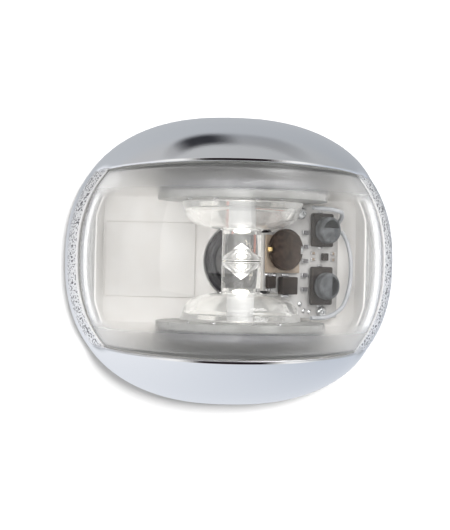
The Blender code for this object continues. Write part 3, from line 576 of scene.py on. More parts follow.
def cap_meridian(turn, sign, inner):
    """From the back edge over a cap and round the rolled lip of the window.

    turn runs from 0 at the right-hand window corner to 1 at the left-hand one.
    """
    wall = COVER_WALL if inner else 0.0
    psi = pi * turn
    lip_x = WINDOW_CORNER_X * cos(psi)
    lip_z = window_z(lip_x)
    lip_depth = WINDOW_SIDE_DEPTH + (LIP_DEPTH - WINDOW_SIDE_DEPTH) * sin(psi)
    start = asin((WINDOW_CORNER_HEIGHT / BASE_HALF_HEIGHT) ** (OUTLINE_POWER / 2))
    angle = start + (pi - 2 * start) * turn
    c = cos(angle)
    base_x = (BASE_HALF_WIDTH - wall) * copysign(abs(c) ** (2 / OUTLINE_POWER), c)
    base_z = (BASE_HALF_HEIGHT - wall) * sin(angle) ** (2 / OUTLINE_POWER)
    if inner:
        lip_depth -= LIP_THICKNESS
    sweep = CAP_SWEEP_CORNER + (CAP_SWEEP_MIDDLE - CAP_SWEEP_CORNER) * sin(psi)

    def on_cap(share):
        theta = sweep * share
        out = (cos(theta) - cos(sweep)) / (1 - cos(sweep))
        rise = sin(theta) / sin(sweep)
        x = lip_x + (base_x - lip_x) * out
        z = lip_z + (base_z - lip_z) * out
        return point(x, sign * z, COVER_BACK + (lip_depth - COVER_BACK) * rise)

    if inner:
        return [on_cap(k / MAIN_STEPS) for k in range(0, MAIN_STEPS + 1, 2)]
    lip = on_cap(1.0)
    length = (lip - on_cap(0.0)).length / MM
    back = Vector((0.0, 1.0, 0.0))
    half = back.angle(on_cap(0.98) - lip) / 2
    reach = min(LIP_RADIUS / tan(half), 0.25 * length, LIP_THICKNESS)
    cut = 1.0 - reach / (length * 1.06)
    points = [on_cap(cut * k / MAIN_STEPS) for k in range(MAIN_STEPS + 1)]
    behind = lip + back * (points[-1] - lip).length
    return points + list(bend(points[-1], lip, behind, EDGE_STEPS, sin(half)))


def side_meridian(z, sign, inner):
    """From the back edge up the side wall, over the grained strip to the window's side."""
    wall = COVER_WALL if inner else 0.0
    drop = 1.6 if inner else 0.0
    base_x = superellipse_x(z, BASE_HALF_WIDTH, BASE_HALF_HEIGHT) - wall
    shoulder_x = superellipse_x(z, SHOULDER_HALF_WIDTH, SHOULDER_HALF_HEIGHT) - wall * 0.9

    def on_wall(share):
        theta = SIDE_SWEEP * share
        out = (cos(theta) - cos(SIDE_SWEEP)) / (1 - cos(SIDE_SWEEP))
        rise = sin(theta) / sin(SIDE_SWEEP)
        depth = COVER_BACK + (SHOULDER_DEPTH - drop - COVER_BACK) * rise
        return point(sign * (shoulder_x + (base_x - shoulder_x) * out), z, depth)

    if inner:
        points = [on_wall(k / MAIN_STEPS) for k in range(0, MAIN_STEPS - 1, 2)]
        return points + [point(sign * window_x(z), z, WINDOW_SIDE_DEPTH - drop)]
    points = [on_wall(0.965 * k / MAIN_STEPS) for k in range(MAIN_STEPS + 1)]
    shoulder = on_wall(1.0)
    edge = point(sign * window_x(z), z, WINDOW_SIDE_DEPTH)
    along = (edge - shoulder).normalized()
    strip_start = shoulder + along * 0.3 * MM
    strip_end = edge - along * STRIP_BEVEL * MM
    points += list(bend(points[-1], shoulder, strip_start, STRIP_FIRST))
    steps = STRIP_LAST - STRIP_FIRST
    points += [strip_start.lerp(strip_end, k / steps) for k in range(1, steps + 1)]
    behind = edge + Vector((0.0, 0.9 * MM, 0.0))
    corner = edge + Vector((0.0, -0.12 * MM, 0.0))
    return points + list(bend(strip_end, corner, behind, EDGE_STEPS - STRIP_LAST))


def cover_meridians(inner, side_steps=44, cap_steps=120):
    """All meridians in order round the cover, and which of them cross a side strip."""
    rows, on_side = [], []
    turns = [0.004] + [i / cap_steps for i in range(1, cap_steps)] + [0.996]
    for sign in (1, -1):
        for i in range(side_steps + 1):
            z = sign * WINDOW_CORNER_HEIGHT * (2 * i / side_steps - 1)
            rows.append(side_meridian(z, sign, inner))
            on_side.append(i < side_steps)
        for turn in turns:
            rows.append(cap_meridian(turn if sign > 0 else 1 - turn, sign, inner))
            on_side.append(False)
    return rows, on_side


def make_cover():
    outer, on_side = cover_meridians(inner=False)
    inner, _ = cover_meridians(inner=True)
    bm = bmesh.new()
    rows = [[bm.verts.new(p) for p in first + second[::-1]]
            for first, second in zip(outer, inner)]
    count = len(rows[0])
    first_strip = round(GRAIN_START * MAIN_STEPS)
    last_strip = MAIN_STEPS + STRIP_LAST
    for r, row in enumerate(rows):
        following = rows[(r + 1) % len(rows)]
        for i in range(count):
            j = (i + 1) % count
            face = bm.faces.new((row[i], row[j], following[j], following[i]))
            if i >= len(outer[0]):
                face.material_index = 2
            elif on_side[r] and i >= first_strip:
                face.material_index = 1 if i < last_strip else 3
    mesh = finish_mesh(bm, "chrome_shell", 48.0)
    add_piece("chrome_shell", mesh, ["chrome", "grained", "inside", "satin"], "cover",
              ["chrome_cover"])


# ---- lens

CORNER_STEPS, LENS_CORNER = 4, 0.45


def lens_half_width(z, turn, wall):
    return (window_x(min(abs(z), WINDOW_CORNER_HEIGHT)) - LENS_CLEARANCE - wall) * sin(turn)


def lens_depth(z, turn, wall):
    front = LENS_FRONT_DEPTH - wall - LENS_BARREL * (z / WINDOW_CORNER_HEIGHT) ** 2
    return LENS_SIDE_DEPTH + (front - LENS_SIDE_DEPTH) * cos(turn)


def lens_loop(turn, wall=0.0, end_wall=0.0, grow=0.0, depth=None, side_steps=40, top_steps=40):
    """The lens's outline where its wall has turned this far from the front.

    A depth gives a flat outline behind the curved part, grown for the flange.
    """
    def top(x):
        return window_z(min(abs(x), WINDOW_CORNER_X)) - LENS_CLEARANCE - end_wall + grow

    corner_x = lens_half_width(WINDOW_CORNER_HEIGHT, turn, wall) + grow
    corner_z = top(corner_x)
    corner = min(LENS_CORNER, corner_x * 0.5)
    end_depth = lens_depth(WINDOW_CORNER_HEIGHT, turn, wall) if depth is None else depth
    half = []
    for i in range(side_steps + 1):
        z = (corner_z - corner) * (2 * i / side_steps - 1)
        here = lens_depth(z, turn, wall) if depth is None else depth
        half.append((lens_half_width(z, turn, wall) + grow, z, here))
    start_x = half[-1][0]
    for k in range(1, CORNER_STEPS):
        angle = pi / 2 * k / CORNER_STEPS
        x = start_x - corner * (1 - cos(angle))
        half.append((x, corner_z - corner * (1 - sin(angle)), end_depth))
    straight = start_x - corner
    for i in range(top_steps + 1):
        x = straight * (1 - 2 * i / top_steps)
        half.append((x, top(x) - (top(straight) - corner_z), end_depth))
    for k in range(1, CORNER_STEPS):
        angle = pi / 2 * (1 - k / CORNER_STEPS)
        x = start_x - corner * (1 - cos(angle))
        half.append((-x, corner_z - corner * (1 - sin(angle)), end_depth))
    return [point(*p) for p in half] + [point(-x, -z, d) for x, z, d in half]


def make_lens(turns=48):
    front, side = radians(2), radians(90)
    angles = [front + (side - front) * i / turns for i in range(turns + 1)]
    outer = [lens_loop(a) for a in angles]
    outer += [lens_loop(side, depth=depth, grow=grow) for depth, grow in (
        (FLANGE_FRONT + 0.4, 0.0), (FLANGE_FRONT, 0.3), (FLANGE_FRONT, FLANGE_WIDTH - 0.2),
        (FLANGE_FRONT - 0.2, FLANGE_WIDTH), (LENS_BACK + 0.2, FLANGE_WIDTH),
        (LENS_BACK, FLANGE_WIDTH - 0.2))]
    inner = [lens_loop(side, LENS_WALL, LENS_END_WALL, depth=LENS_BACK)]
    inner += [lens_loop(a, LENS_WALL, LENS_END_WALL) for a in angles[::-1]]
    bm = bmesh.new()
    rings = [[bm.verts.new(p) for p in loop] for loop in outer + inner]
    skin(bm, rings)
    for ring in (rings[0], rings[-1]):
        close_narrow(bm, ring)
    piece = add_piece("lens_shell", finish_mesh(bm, "lens_shell", 40.0), "lens",
                      replaces=["lens"])
    let_light_in(piece)


def close_narrow(bm, ring, side_steps=40):
    """Close the narrow front of the lens with quads from its right side to its left."""
    half = len(ring) // 2
    right, left = ring[:side_steps + 1], ring[half:half + side_steps + 1][::-1]
    for i in range(side_steps):
        bm.faces.new((right[i], right[i + 1], left[i + 1], left[i]))
    bm.faces.new(ring[side_steps:half + 1])
    bm.faces.new(ring[half + side_steps:] + [ring[0]])


def let_light_in(piece):
    """Clear pieces don't shade what is inside them."""
    piece.visible_shadow = False
    piece.visible_diffuse = False


# ---- housing


def rounded_rectangle(half_width, half_height, corner, steps=10):
    loop = []
    for quarter in range(4):
        sx = 1 if quarter in (0, 3) else -1
        sz = 1 if quarter in (0, 1) else -1
        for k in range(steps + 1):
            angle = radians(90 * (quarter + k / steps))
            loop.append((sx * (half_width - corner) + corner * cos(angle),
                         sz * (half_height - corner) + corner * sin(angle)))
    return loop


def tray_loop(share, thick, depth):
    """Outline of the housing, from its back wall (share 0) to the flare's rim (share 1)."""
    def between(a, b):
        return a + (b - a) * share

    half_width = between(WALL_HALF_WIDTH, FLARE_HALF_WIDTH) + thick
    half_height = between(WALL_HALF_HEIGHT, FLARE_HALF_HEIGHT) + thick
    corner = between(2.0, FLARE_CORNER) + thick
    loop = []
    for x, z in rounded_rectangle(half_width, half_height, corner):
        limit = window_x(z) - LENS_CLEARANCE - LENS_WALL - HOUSING_GAP - FLARE_WALL + thick
        loop.append(point(max(-limit, min(limit, x)), z, depth))
    return loop


def make_housing():
    rise = FLARE_DEPTH - WALL_DEPTH
    loops = [tray_loop(-0.10, 0.0, WALL_DEPTH), tray_loop(-0.03, 0.0, WALL_DEPTH + 0.12)]
    for k in range(1, 9):
        loops.append(tray_loop(k / 8, 0.0, WALL_DEPTH + rise * (0.06 + 0.94 * k / 8)))
    loops.append(tray_loop(1.0, FLARE_WALL, FLARE_DEPTH))
    loops.append(tray_loop(0.0, FLARE_WALL, WALL_BACK))
    housing = add_piece("housing_shell", loft("housing_shell", loops, 40.0), "white",
                        replaces=["reflector_housing"])
    hole = turned("grommet_opening", [(0, 2.0), (GROMMET_RADIUS + 0.4, 2.0),
                                      (GROMMET_RADIUS + 0.4, 8.0), (0, 8.0)],
                  depth_frame(GROMMET_X, 0.0), 72)
    cut_away(housing, hole)

    panel = block("panel", (PANEL_LEFT, -PANEL_HALF_HEIGHT, WALL_DEPTH + 0.01),
                  (PANEL_RIGHT, PANEL_HALF_HEIGHT, PANEL_FRONT), 0.18)
    add_piece("wall_panel", panel, "white")
    for i, (across, up) in enumerate(BOARD_SCREWS):
        foot = BOARD @ Vector((across * MM, BOARD_THICKNESS * MM, up * MM))
        top = -foot.y / MM - BOARD_POST_DROP
        profile = rounded([(0, WALL_DEPTH + 0.01), (BOARD_POST_RADIUS + 0.3, WALL_DEPTH + 0.01),
                           (BOARD_POST_RADIUS, WALL_DEPTH + 0.5), (BOARD_POST_RADIUS, top),
                           (0, top)], 0.15)
        add_piece(f"board_post_{i + 1}", turned("post", profile, depth_frame(foot.x / MM, up), 32),
                  "white")


def cut_away(target, tool_mesh):
    """Cut a hidden solid out of a piece, and keep the result as its mesh."""
    tool = in_scene("cutter", tool_mesh)
    step = target.modifiers.new("cut", "BOOLEAN")
    step.object = tool
    bpy.context.view_layer.update()
    shape = target.evaluated_get(bpy.context.evaluated_depsgraph_get())
    result = bpy.data.meshes.new_from_object(shape)
    target.modifiers.clear()
    target.data = result
    bpy.data.objects.remove(tool)
    result.set_sharp_from_angle(angle=radians(40))


# ---- cable entry


def make_cable_entry():
    floor = PLATE_FRONT + 0.5
    profile = rounded([
        (GROMMET_BORE_RADIUS, GASKET_THICKNESS), (GROMMET_NECK_RADIUS, GASKET_THICKNESS),
        (GROMMET_NECK_RADIUS, PLATE_FRONT + 0.3), (GROMMET_RADIUS, PLATE_FRONT + 0.3),
        (GROMMET_RADIUS, GROMMET_FRONT - 0.6), (GROMMET_RADIUS - 0.7, GROMMET_FRONT),
        (GROMMET_RADIUS - 1.3, GROMMET_FRONT - 0.25), (GROMMET_RADIUS - 1.6, GROMMET_FRONT - 0.05),
        (GROMMET_CUP_RADIUS, GROMMET_FRONT - 0.3), (GROMMET_CUP_RADIUS, floor),
        (GROMMET_BORE_RADIUS, floor)], 0.25, closed=True)
    place = depth_frame(GROMMET_X, 0.0)
    add_piece("grommet_ring", turned("grommet_ring", profile, place, closed=True),
              "rubber", replaces=["cable_grommet"])

    bottom = PLATE_FRONT + 0.8
    edge = GROMMET_CUP_RADIUS - 0.3
    top = [(edge * (1 - k / 14), bottom + 0.35 + 0.45 * (k / 14) ** 0.6) for k in range(14)]
    profile = [(0, GASKET_THICKNESS + 0.3), (GROMMET_BORE_RADIUS - 0.3, GASKET_THICKNESS + 0.3),
               (GROMMET_BORE_RADIUS - 0.3, bottom), (edge, bottom)] + top + [(0, bottom + 0.8)]
    mesh = turned("potting_fill", profile, place, 72)
    for v in mesh.vertices:
        if -v.co.y / MM > bottom + 0.3:
            coarse, fine = noise.noise(v.co * 620), noise.noise(v.co * 1500)
            ripple = coarse * 0.28 + fine * 0.10
            v.co.y += abs(ripple) * MM * 0.9
    add_piece("potting_fill", mesh, "potting", replaces=["cable_potting"])
    surface = bottom + 0.62
    for n in range(5):
        angle = radians(118 + 26 * n)
        radius = 4.7 - 0.25 * (n % 2)
        route = []
        for k in range(9):
            sweep = angle + 0.055 * (k - 4)
            reach = radius + 0.45 * sin(k * 1.4 + n)
            route.append(point(GROMMET_X + reach * cos(sweep),
                               reach * sin(sweep),
                               surface + 0.12 * sin(k * 0.9 + n)))
        tube(f"tinned_strand_{n + 1}", smooth_route(route, 3), 0.17, "tinned")


# ---- light guides and LEDs


def bowl(start_radius, end_radius, start_height, end_height, steps):
    points = []
    for k in range(steps + 1):
        angle = pi / 2 * k / steps
        points.append((start_radius + (end_radius - start_radius) * sin(angle),
                       start_height + (end_height - start_height) * (1 - cos(angle))))
    return points


def guide_profile():
    outside = bowl(BOWL_START_RADIUS, DISH_SHOULDER_RADIUS, BOWL_START_HEIGHT,
                   DISH_SHOULDER_HEIGHT, 20)
    inside = bowl(WELL_RADIUS + 0.4, DISH_SHOULDER_RADIUS - DISH_WALL, WELL_TOP + 0.3,
                  DISH_SHOULDER_HEIGHT + 1.0, 20)
    profile = [(0, PIT_HEIGHT), (PIT_RADIUS, HALF_GAP), (STEM_RADIUS - 0.08, HALF_GAP),
               (STEM_RADIUS, HALF_GAP + 0.08), (STEM_RADIUS, STEM_TOP)]
    profile += outside
    rim = rounded([(DISH_SHOULDER_RADIUS, DISH_SHOULDER_HEIGHT),
                   (DISH_RIM_RADIUS, DISH_RIM_HEIGHT),
                   (DISH_RIM_RADIUS - DISH_WALL, DISH_RIM_HEIGHT),
                   (DISH_SHOULDER_RADIUS - DISH_WALL, DISH_SHOULDER_HEIGHT + 1.0)], 0.3)
    profile += rim[1:-1]
    profile += inside[::-1]
    return profile + [(WELL_RADIUS, WELL_TOP), (WELL_RADIUS, WELL_FLOOR), (0, WELL_FLOOR)]


def make_optics():
    for side, sign in (("upper", 1), ("lower", -1)):
        place = optic_frame(sign)
        mesh = turned("guide", guide_profile(), place, 128, sharp=25.0)
        guide = add_piece(f"{side}_guide_shell", mesh,
                          ["clear", "cone", "seam"],
                          replaces=[f"{side}_light_guide"])
        for face in mesh.polygons:
            middle = place.inverted() @ face.center / MM
            on_cone = middle.z < PIT_HEIGHT and hypot(middle.x, middle.y) < PIT_RADIUS - 0.01
            on_rim = not on_cone and middle.z < HALF_GAP + 0.05
            face.material_index = 1 if on_cone else 2 if on_rim else 0
        let_light_in(guide)

        post = rounded([(0, LED_POST_BOTTOM), (LED_POST_RADIUS, LED_POST_BOTTOM),
                        (LED_POST_RADIUS, LED_BOARD_BOTTOM - 0.3),
                        (0, LED_BOARD_BOTTOM - 0.3)], 0.25)
        add_piece(f"{side}_post_turned", turned("post", post, place, 64), "post",
                  replaces=[f"{side}_led_post"])
        make_led(side, sign)
        make_led_board(side, sign)


def make_led(side, sign):
    half = LED_SIZE / 2
    place = optic_frame(sign)
    low, high = LED_HEIGHT + 0.55, LED_POST_BOTTOM - 0.3
    package = block("led", (-half, low, -half), (half, high, half), 0.15, place)
    add_piece(f"{side}_led_package", package, "led", replaces=[f"{side}_led"])
    dome = [(0, LED_HEIGHT)]
    for k in range(1, 9):
        angle = pi / 2 * k / 8
        dome.append((half * 0.92 * sin(angle), LED_HEIGHT + 0.5 * (1 - cos(angle))))
    dome += [(half * 0.92, LED_HEIGHT + 0.54), (0, LED_HEIGHT + 0.54)]
    add_piece(f"{side}_led_dome", turned("dome", dome, place, 48), "phosphor")


def make_thermal_pad(side, sign):
    """The soft grey pad that fills the gap between an LED board and its heat spreader."""
    radius = LED_BOARD_RADIUS - 0.25
    reach = OPTIC_DEPTH - SPREADER_BACK - 0.3
    start = pi / 2 - acos(reach / radius)
    outline = []
    for k in range(73):
        angle = -pi / 2 - start + (pi + 2 * start) * k / 72
        outline.append((OPTIC_X + radius * sin(angle), OPTIC_DEPTH + radius * cos(angle)))
    loops = [[point(x, sign * z, depth) for x, depth in outline]
             for z in (LED_BOARD_TOP + SMALL_GAP, SPREADER_BOTTOM - SMALL_GAP)]
    add_piece(f"{side}_thermal_pad", loft("pad", loops), "spreader")


def make_led_board(side, sign):
    """A disc with a flat back edge, its glints of solder and the parts on its lower face."""
    refine(f"{side}_led_board", "led_board", 0.12)
    refine(f"{side}_heat_spreader", "spreader", 0.6, 4)
    make_thermal_pad(side, sign)
    face = LED_BOARD_BOTTOM - SMALL_GAP
    place = optic_frame(sign)
    for i, (x, y) in enumerate(((2.2, 15.2), (-6.5, 13.9), (7.4, 14.2), (-11.8, 10.6))):
        bead = [(0, face), (0.55, face), (0.50, face - 0.16), (0.30, face - 0.30),
                (0, face - 0.34)]
        spot = place @ Matrix.Translation(Vector((x * MM, -y * sign * MM, 0)))
        add_piece(f"{side}_solder_{i + 1}", turned("bead", rounded(bead, 0.1), spot, 24),
                  "solder")


# ---- driver board


# name, height off the board's middle, length, where the mark on its top sits in degrees
CAPACITORS = (("input", 7.5, 7.6, 90), ("output", -5.2, 8.7, 0))
# name, place, half its height, lead width, leads per edge, widest lead
LEADED_PACKAGES = (("diode", -4.7, -5.2, 3.9 / 2, 2.0, 1, 2.2),
                   ("chip", -9.2, -4.5, 2.6 / 2, 0.30, 3, 0.8))
PASSIVES = ((3.2, 2.2, 0.9), (3.2, 0.8, 0.9), (9.2, 2.2, 0.8), (9.2, 0.8, 0.8), (9.6, 5.6, 0.8))
SOLDER_PADS = ((-7.6, -3.0), (-9.8, -2.8), (9.7, 9.2), (9.7, 7.4), (-0.2, -9.4), (1.0, -10.9),
               (2.6, -11.2))


def on_board(name, x, z, width, height, low, high, look, bevel=0.08):
    """A rounded block on the driver board's front face; low and high are off that face."""
    mesh = block(name, (x - width / 2, z - height / 2, low), (x + width / 2, z + height / 2, high),
                 bevel, BOARD)
    add_piece(name, mesh, look)


def board_turned(name, x, z, profile, look, replaces=(), segments=64):
    mesh = turned(name, profile, BOARD @ depth_frame(x, z), segments)
    add_piece(name, mesh, look, replaces=replaces)


def make_driver_board():
    refine("driver_board", "board", 0.08)
    for i, (across, up) in enumerate(BOARD_SCREWS):
        make_screw(i + 1, across, up)
    make_choke()
    refine("protection_diode", "package", 0.22, 3)
    refine("driver_chip", "package", 0.12, 3)
    refine("sense_chip", "package", 0.10, 3)
    for row in LEADED_PACKAGES:
        make_leads(*row)
    for i in range(5):
        make_resistor(i + 1, RESISTOR_X, RESISTOR_TOP - RESISTOR_PITCH * i)
    for name, up, height, mark_turn in CAPACITORS:
        make_can(name, CAPACITOR_X, up, height, mark_turn)
    make_small_parts()


def make_screw(number, across, up):
    head = rounded([(0, -BOARD_THICKNESS - 0.1), (0.6, -BOARD_THICKNESS - 0.1), (0.6, 0.15),
                    (1.35, 0.18), (1.35, 0.62), (0.95, 1.0), (0.42, 1.05), (0.34, 0.6),
                    (0, 0.55)], 0.12)
    board_turned(f"board_screw_head_{number}", across, up, head, "steel",
                 [f"board_screw_{number}"], 48)


def make_leads(name, x, z, half_height, width, count, reach):
    """Tinned leads out of a package's top and bottom edges, down to solder on the board."""
    for side in (1, -1):
        for n in range(count):
            across = x + (n - (count - 1) / 2) * (width + 0.45)
            edge = z + side * (half_height + 0.35)
            on_board(f"{name}_lead_{'upper' if side > 0 else 'lower'}_{n + 1}", across, edge,
                     min(width, reach), 0.6, SMALL_GAP, 0.32, "solder", 0.1)


def make_resistor(number, x, z):
    refine(f"resistor_{number}", "ceramic", 0.06)
    for side in (1, -1):
        on_board(f"resistor_{number}_end_{'left' if side < 0 else 'right'}", x + side * 0.74, z,
                 0.26, 0.98, SMALL_GAP, 0.72, "solder", 0.09)


def make_choke():
    refine("choke_base", "tan", 0.15, 3)
    refine("choke_core", "ferrite", 0.12, 3)
    refine("choke_terminal_left", "gold", 0.12, 3)
    refine("choke_terminal_right", "steel", 0.12, 3)


def make_can(name, x, z, height, mark_turn):
    """A surface-mount capacitor; mark_turn is where on its top the black mark sits."""
    refine(f"{name}_capacitor_base", "package", 0.2, 3)
    radius, low = CAPACITOR_RADIUS, 1.7
    top = low + 2.6
    profile = rounded([(0, low), (radius - 0.3, low), (radius, low + 0.3), (radius, low + 0.7),
                       (radius - 0.22, low + 0.95), (radius, low + 1.2), (radius, top - 0.4),
                       (radius - 0.4, top), (radius - 0.7, top - 0.06), (0, top - 0.06)], 0.2)
    board_turned(f"{name}_can_body", x, z, profile, "can",
                 [f"{name}_capacitor_can"])
    outline = []
    for k in range(25):
        angle = radians(mark_turn - 78 + 156 * k / 24)
        reach = radius - 0.75
        outline.append((x + reach * cos(angle), z + reach * sin(angle)))
    loops = [[BOARD @ point(a, b, top - under) for a, b in outline] for under in (0.05, 0.01)]
    add_piece(f"{name}_can_mark", loft("mark", loops), "mark")
    for side in (1, -1):
        on_board(f"{name}_can_tab_{'upper' if side > 0 else 'lower'}", x,
                 z + side * (height / 2 + 0.25), 1.3, 0.5, SMALL_GAP, 0.3, "solder", 0.1)


def make_small_parts():
    """Loose passives, pads and a test point in the gaps between the larger parts."""
    for i, (x, z, wide) in enumerate(PASSIVES):
        on_board(f"passive_{i + 1}", x, z, wide, 0.6, SMALL_GAP, 0.45, "tan")
        for side in (1, -1):
            on_board(f"passive_{i + 1}_end_{'left' if side < 0 else 'right'}",
                     x + side * (wide / 2 + 0.08), z, 0.22, 0.66, SMALL_GAP, 0.5, "solder")
    for i, (x, z) in enumerate(SOLDER_PADS):
        pad = [(0, 0.02), (0.62, 0.02), (0.55, 0.14), (0.28, 0.34), (0, 0.4)]
        board_turned(f"solder_pad_{i + 1}", x, z, rounded(pad, 0.1), "solder", segments=28)


# ---- wires

SUPPLY_RED = [(-0.8, 0.6, 5.9), (-1.0, 2.6, 7.0), (-1.0, 6.8, 7.0), (0.0, 9.6, 6.2),
              (3.5, 11.2, 6.1), (7.5, 11.3, 6.4), (11.0, 10.3, 8.6), (13.2, 9.2, 11.2)]
SUPPLY_BLACK = [(2.6, -1.6, 5.9), (2.8, -3.2, 7.6), (3.8, -4.2, 9.6), (5.4, -4.2, 11.8),
                (7.0, -3.6, 13.8), (8.0, -3.0, 14.9)]
LEAD_UPPER = [(24.6, 9.2, 8.7), (25.2, 10.4, 10.2), (24.8, 11.6, 12.2), (21.8, 12.1, 14.8),
              (17.6, 12.3, 18.0)]
LEAD_LOWER = [(24.6, 7.4, 8.7), (25.8, 6.6, 9.6), (27.0, 3.5, 10.4), (27.5, -0.5, 10.9),
              (27.2, -5.0, 11.4), (25.6, -9.6, 12.4), (22.0, -12.0, 14.8), (17.6, -12.3, 18.0)]


def make_wires():
    for node, stations, radius, look in (
            ("supply_wire_red", SUPPLY_RED, 0.6, "red"),
            ("supply_wire_black", SUPPLY_BLACK, 0.6, "black"),
            ("led_lead_upper", LEAD_UPPER, 0.5, "pale"),
            ("led_lead_lower", LEAD_LOWER, 0.5, "pale")):
        route = smooth_route([point(*station) for station in stations])
        tube(f"{node}_fine", route, radius, look, [node])


# ---- base


def make_base():
    refine("base_plate", "base", 0.25, 3)
    refine("mounting_gasket", "foam", 0.2, 3)
    refine("lens_gasket", "silicone", 0.12)


# ---- studio

CAMERA_AZIMUTH = radians(-3)
CAMERA_DISTANCE = 330.0
CAMERA_LENS = 95.4
CAMERA_ROLL = radians(1.25)
AIM_RIGHT, AIM_UP = -0.80, -0.94

# the dark flag overhead: (from, to, softness) in degrees, from straight ahead and round the front
STREAK, STREAK_CORE, STREAK_TAIL = (125, 137, 3.0), (-17, 3, 7.0), (-24, 26, 12.0)
STREAK_SAG_LEFT, STREAK_SAG_RIGHT = 0.025, 0.015  # how fast it droops away from the top
GAP_RIM = (58, 78)  # degrees from straight ahead over which the dark gap ends
GAP_SIDES = (0.42, 0.80)  # how far aside it ends, as a share of the direction's length


def make_world():
    """A pale studio: white in front, grey overhead and behind, and two dark places.

    One is a narrow flag overhead, the other the gap straight ahead where the camera stands.
    """
    world = bpy.data.worlds.new("studio")
    bpy.context.scene.world = world
    world.use_nodes = True
    tree = world.node_tree
    tree.nodes.clear()
    nodes = Nodes(tree)
    direction = tree.nodes.new("ShaderNodeTexCoord").outputs["Generated"]
    calc, mix, step, band = nodes.math, nodes.mix, nodes.step, nodes.band
    right, back, up = nodes.parts(direction)
    phi = calc("ARCCOSINE", calc("MULTIPLY", back, -1.0))
    phi = calc("MULTIPLY", phi, 180 / pi)
    around = calc("MULTIPLY", calc("ARCTAN2", right, up), 180 / pi)

    across = step(right, -0.75, 0.75)
    near_lip = mix(across, (0.56, 0.56, 0.57), (0.46, 0.47, 0.48))
    overhead = mix(across, (0.54, 0.56, 0.59), (0.42, 0.44, 0.47))
    upper = mix(step(phi, 122, 140), near_lip, overhead)
    lower = mix(across, (0.88, 0.90, 0.94), (0.60, 0.64, 0.71))
    sides = mix(step(up, -0.25, 0.25), lower, upper)
    front = mix(step(phi, 60, 95), (1.0, 0.99, 0.97), sides)
    left_turn = calc("MINIMUM", around, 0.0)
    right_turn = calc("MAXIMUM", around, 0.0)
    sag = calc("ADD", calc("MULTIPLY", calc("POWER", left_turn, 2.0), STREAK_SAG_LEFT),
               calc("MULTIPLY", calc("POWER", right_turn, 2.0), STREAK_SAG_RIGHT))
    streak = band(calc("ADD", phi, sag), *STREAK)
    core = calc("MULTIPLY", band(around, *STREAK_CORE), 0.95)
    tail = calc("MULTIPLY", band(around, *STREAK_TAIL), 0.30)
    strength = calc("MAXIMUM", core, tail)
    flagged = mix(calc("MULTIPLY", streak, strength), front, (0.014, 0.014, 0.02))
    ahead = calc("SUBTRACT", 1.0, step(phi, *GAP_RIM))
    aside = step(calc("ABSOLUTE", right), *GAP_SIDES)
    camera_gap = calc("MULTIPLY", ahead, calc("SUBTRACT", 1.0, aside))
    seen = mix(camera_gap, flagged, (0.02, 0.014, 0.018))

    rays = nodes.node("LightPath", {})
    final = nodes.mix(rays.outputs["Is Camera Ray"], seen, (0.95, 0.95, 0.95))
    background = nodes.node("Background", {"Color": final})
    nodes.node("OutputWorld", {"Surface": background.outputs["Background"]})


def plane(name, corners, mat):
    mesh = bpy.data.meshes.new(name)
    mesh.from_pydata(corners, [], [(0, 1, 2, 3)])
    mesh.materials.append(mat)
    piece = in_scene(name, mesh)
    return piece


def wall_look():
    """Pale paint that is seen from the front only."""
    look = Look("wall_paint", (0.48, 0.48, 0.48), 0.8)
    look.mottle((0.465, 0.465, 0.465), look.noise(30.0))
    side = look.node("NewGeometry", {}).outputs["Backfacing"]
    clear = look.node("BsdfTransparent", {}).outputs["BSDF"]
    paint = look.shader.outputs["BSDF"]
    mixed = look.node("MixShader", {"Fac": side, 1: paint, 2: clear}).outputs["Shader"]
    output = next(n for n in look.tree.nodes if n.type == "OUTPUT_MATERIAL")
    look.tree.links.new(mixed, output.inputs["Surface"])
    return look.mat


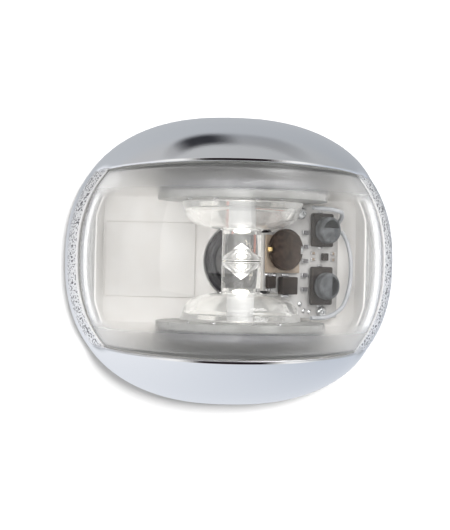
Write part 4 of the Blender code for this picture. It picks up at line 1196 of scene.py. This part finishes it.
def make_stage():
    reach, height, low = 1.5, 1.2, -0.075
    wall_y = 0.0004
    wall = plane("backdrop_wall", [(-reach, wall_y, low), (reach, wall_y, low),
                                   (reach, wall_y, height), (-reach, wall_y, height)], wall_look())
    light_only(area_light("wall_light", (0.065, -0.60, 0.075), 0.10, 6.0), wall)
    wall.visible_glossy = False
    wall.visible_diffuse = False
    wall.visible_shadow = False
    floor_look = Look("pale_floor", (0.86, 0.86, 0.86), 0.7)
    floor_look.mottle((0.84, 0.84, 0.84), floor_look.noise(40.0))
    floor = plane("pale_floor", [(-reach, -reach, low), (reach, -reach, low),
                                 (reach, reach, low), (-reach, reach, low)], floor_look.mat)
    floor.visible_glossy = False


def area_light(name, place, size, power):
    """A lamp aimed at the light's middle that leaves no mirror image of itself."""
    lamp = bpy.data.lights.new(name, "AREA")
    lamp.size = size
    lamp.energy = power
    holder = in_scene(name, lamp)
    holder.location = place
    aim = Vector((0, -0.02, 0)) - Vector(place)
    holder.rotation_euler = aim.to_track_quat("-Z", "Y").to_euler()
    holder.visible_glossy = False
    return holder


def light_only(lamp, receiver):
    """Let a lamp light just one object, with every other object still shading it."""
    group = bpy.data.collections.new(f"{lamp.name}_receivers")
    group.objects.link(receiver)
    lamp.light_linking.receiver_collection = group


# name, place in metres, width in metres, watts
LAMPS = (("key", (0.26, -0.34, 0.30), 0.24, 1.6), ("fill", (-0.30, -0.45, 0.05), 0.35, 0.7),
         ("front", (-0.03, -0.60, 0.12), 0.30, 0.8), ("back", (-0.20, 0.45, 0.25), 0.35, 1.2))


def make_lights():
    for name, place, size, power in LAMPS:
        area_light(name, place, size, power)


def make_camera():
    data = bpy.data.cameras.new("camera")
    data.lens = CAMERA_LENS
    data.clip_start, data.clip_end = 0.01, 10.0
    camera = in_scene("camera", data)
    toward = Vector((sin(CAMERA_AZIMUTH), -cos(CAMERA_AZIMUTH), 0.0))
    right = Vector((cos(CAMERA_AZIMUTH), sin(CAMERA_AZIMUTH), 0.0))
    place = toward * CAMERA_DISTANCE * MM
    aim = right * (AIM_RIGHT * MM) + Vector((0.0, 0.0, AIM_UP * MM))
    turn = (aim - place).to_track_quat("-Z", "Y")
    camera.rotation_mode = "QUATERNION"
    camera.rotation_quaternion = turn @ Matrix.Rotation(CAMERA_ROLL, 3, "Z").to_quaternion()
    camera.location = place
    bpy.context.scene.camera = camera


# ---- assembly

make_cover()
make_lens()
make_base()
make_housing()
make_cable_entry()
make_optics()
make_driver_board()
make_wires()
make_world()
make_stage()
make_lights()
make_camera()
bpy.context.scene.view_settings.view_transform = "Standard"
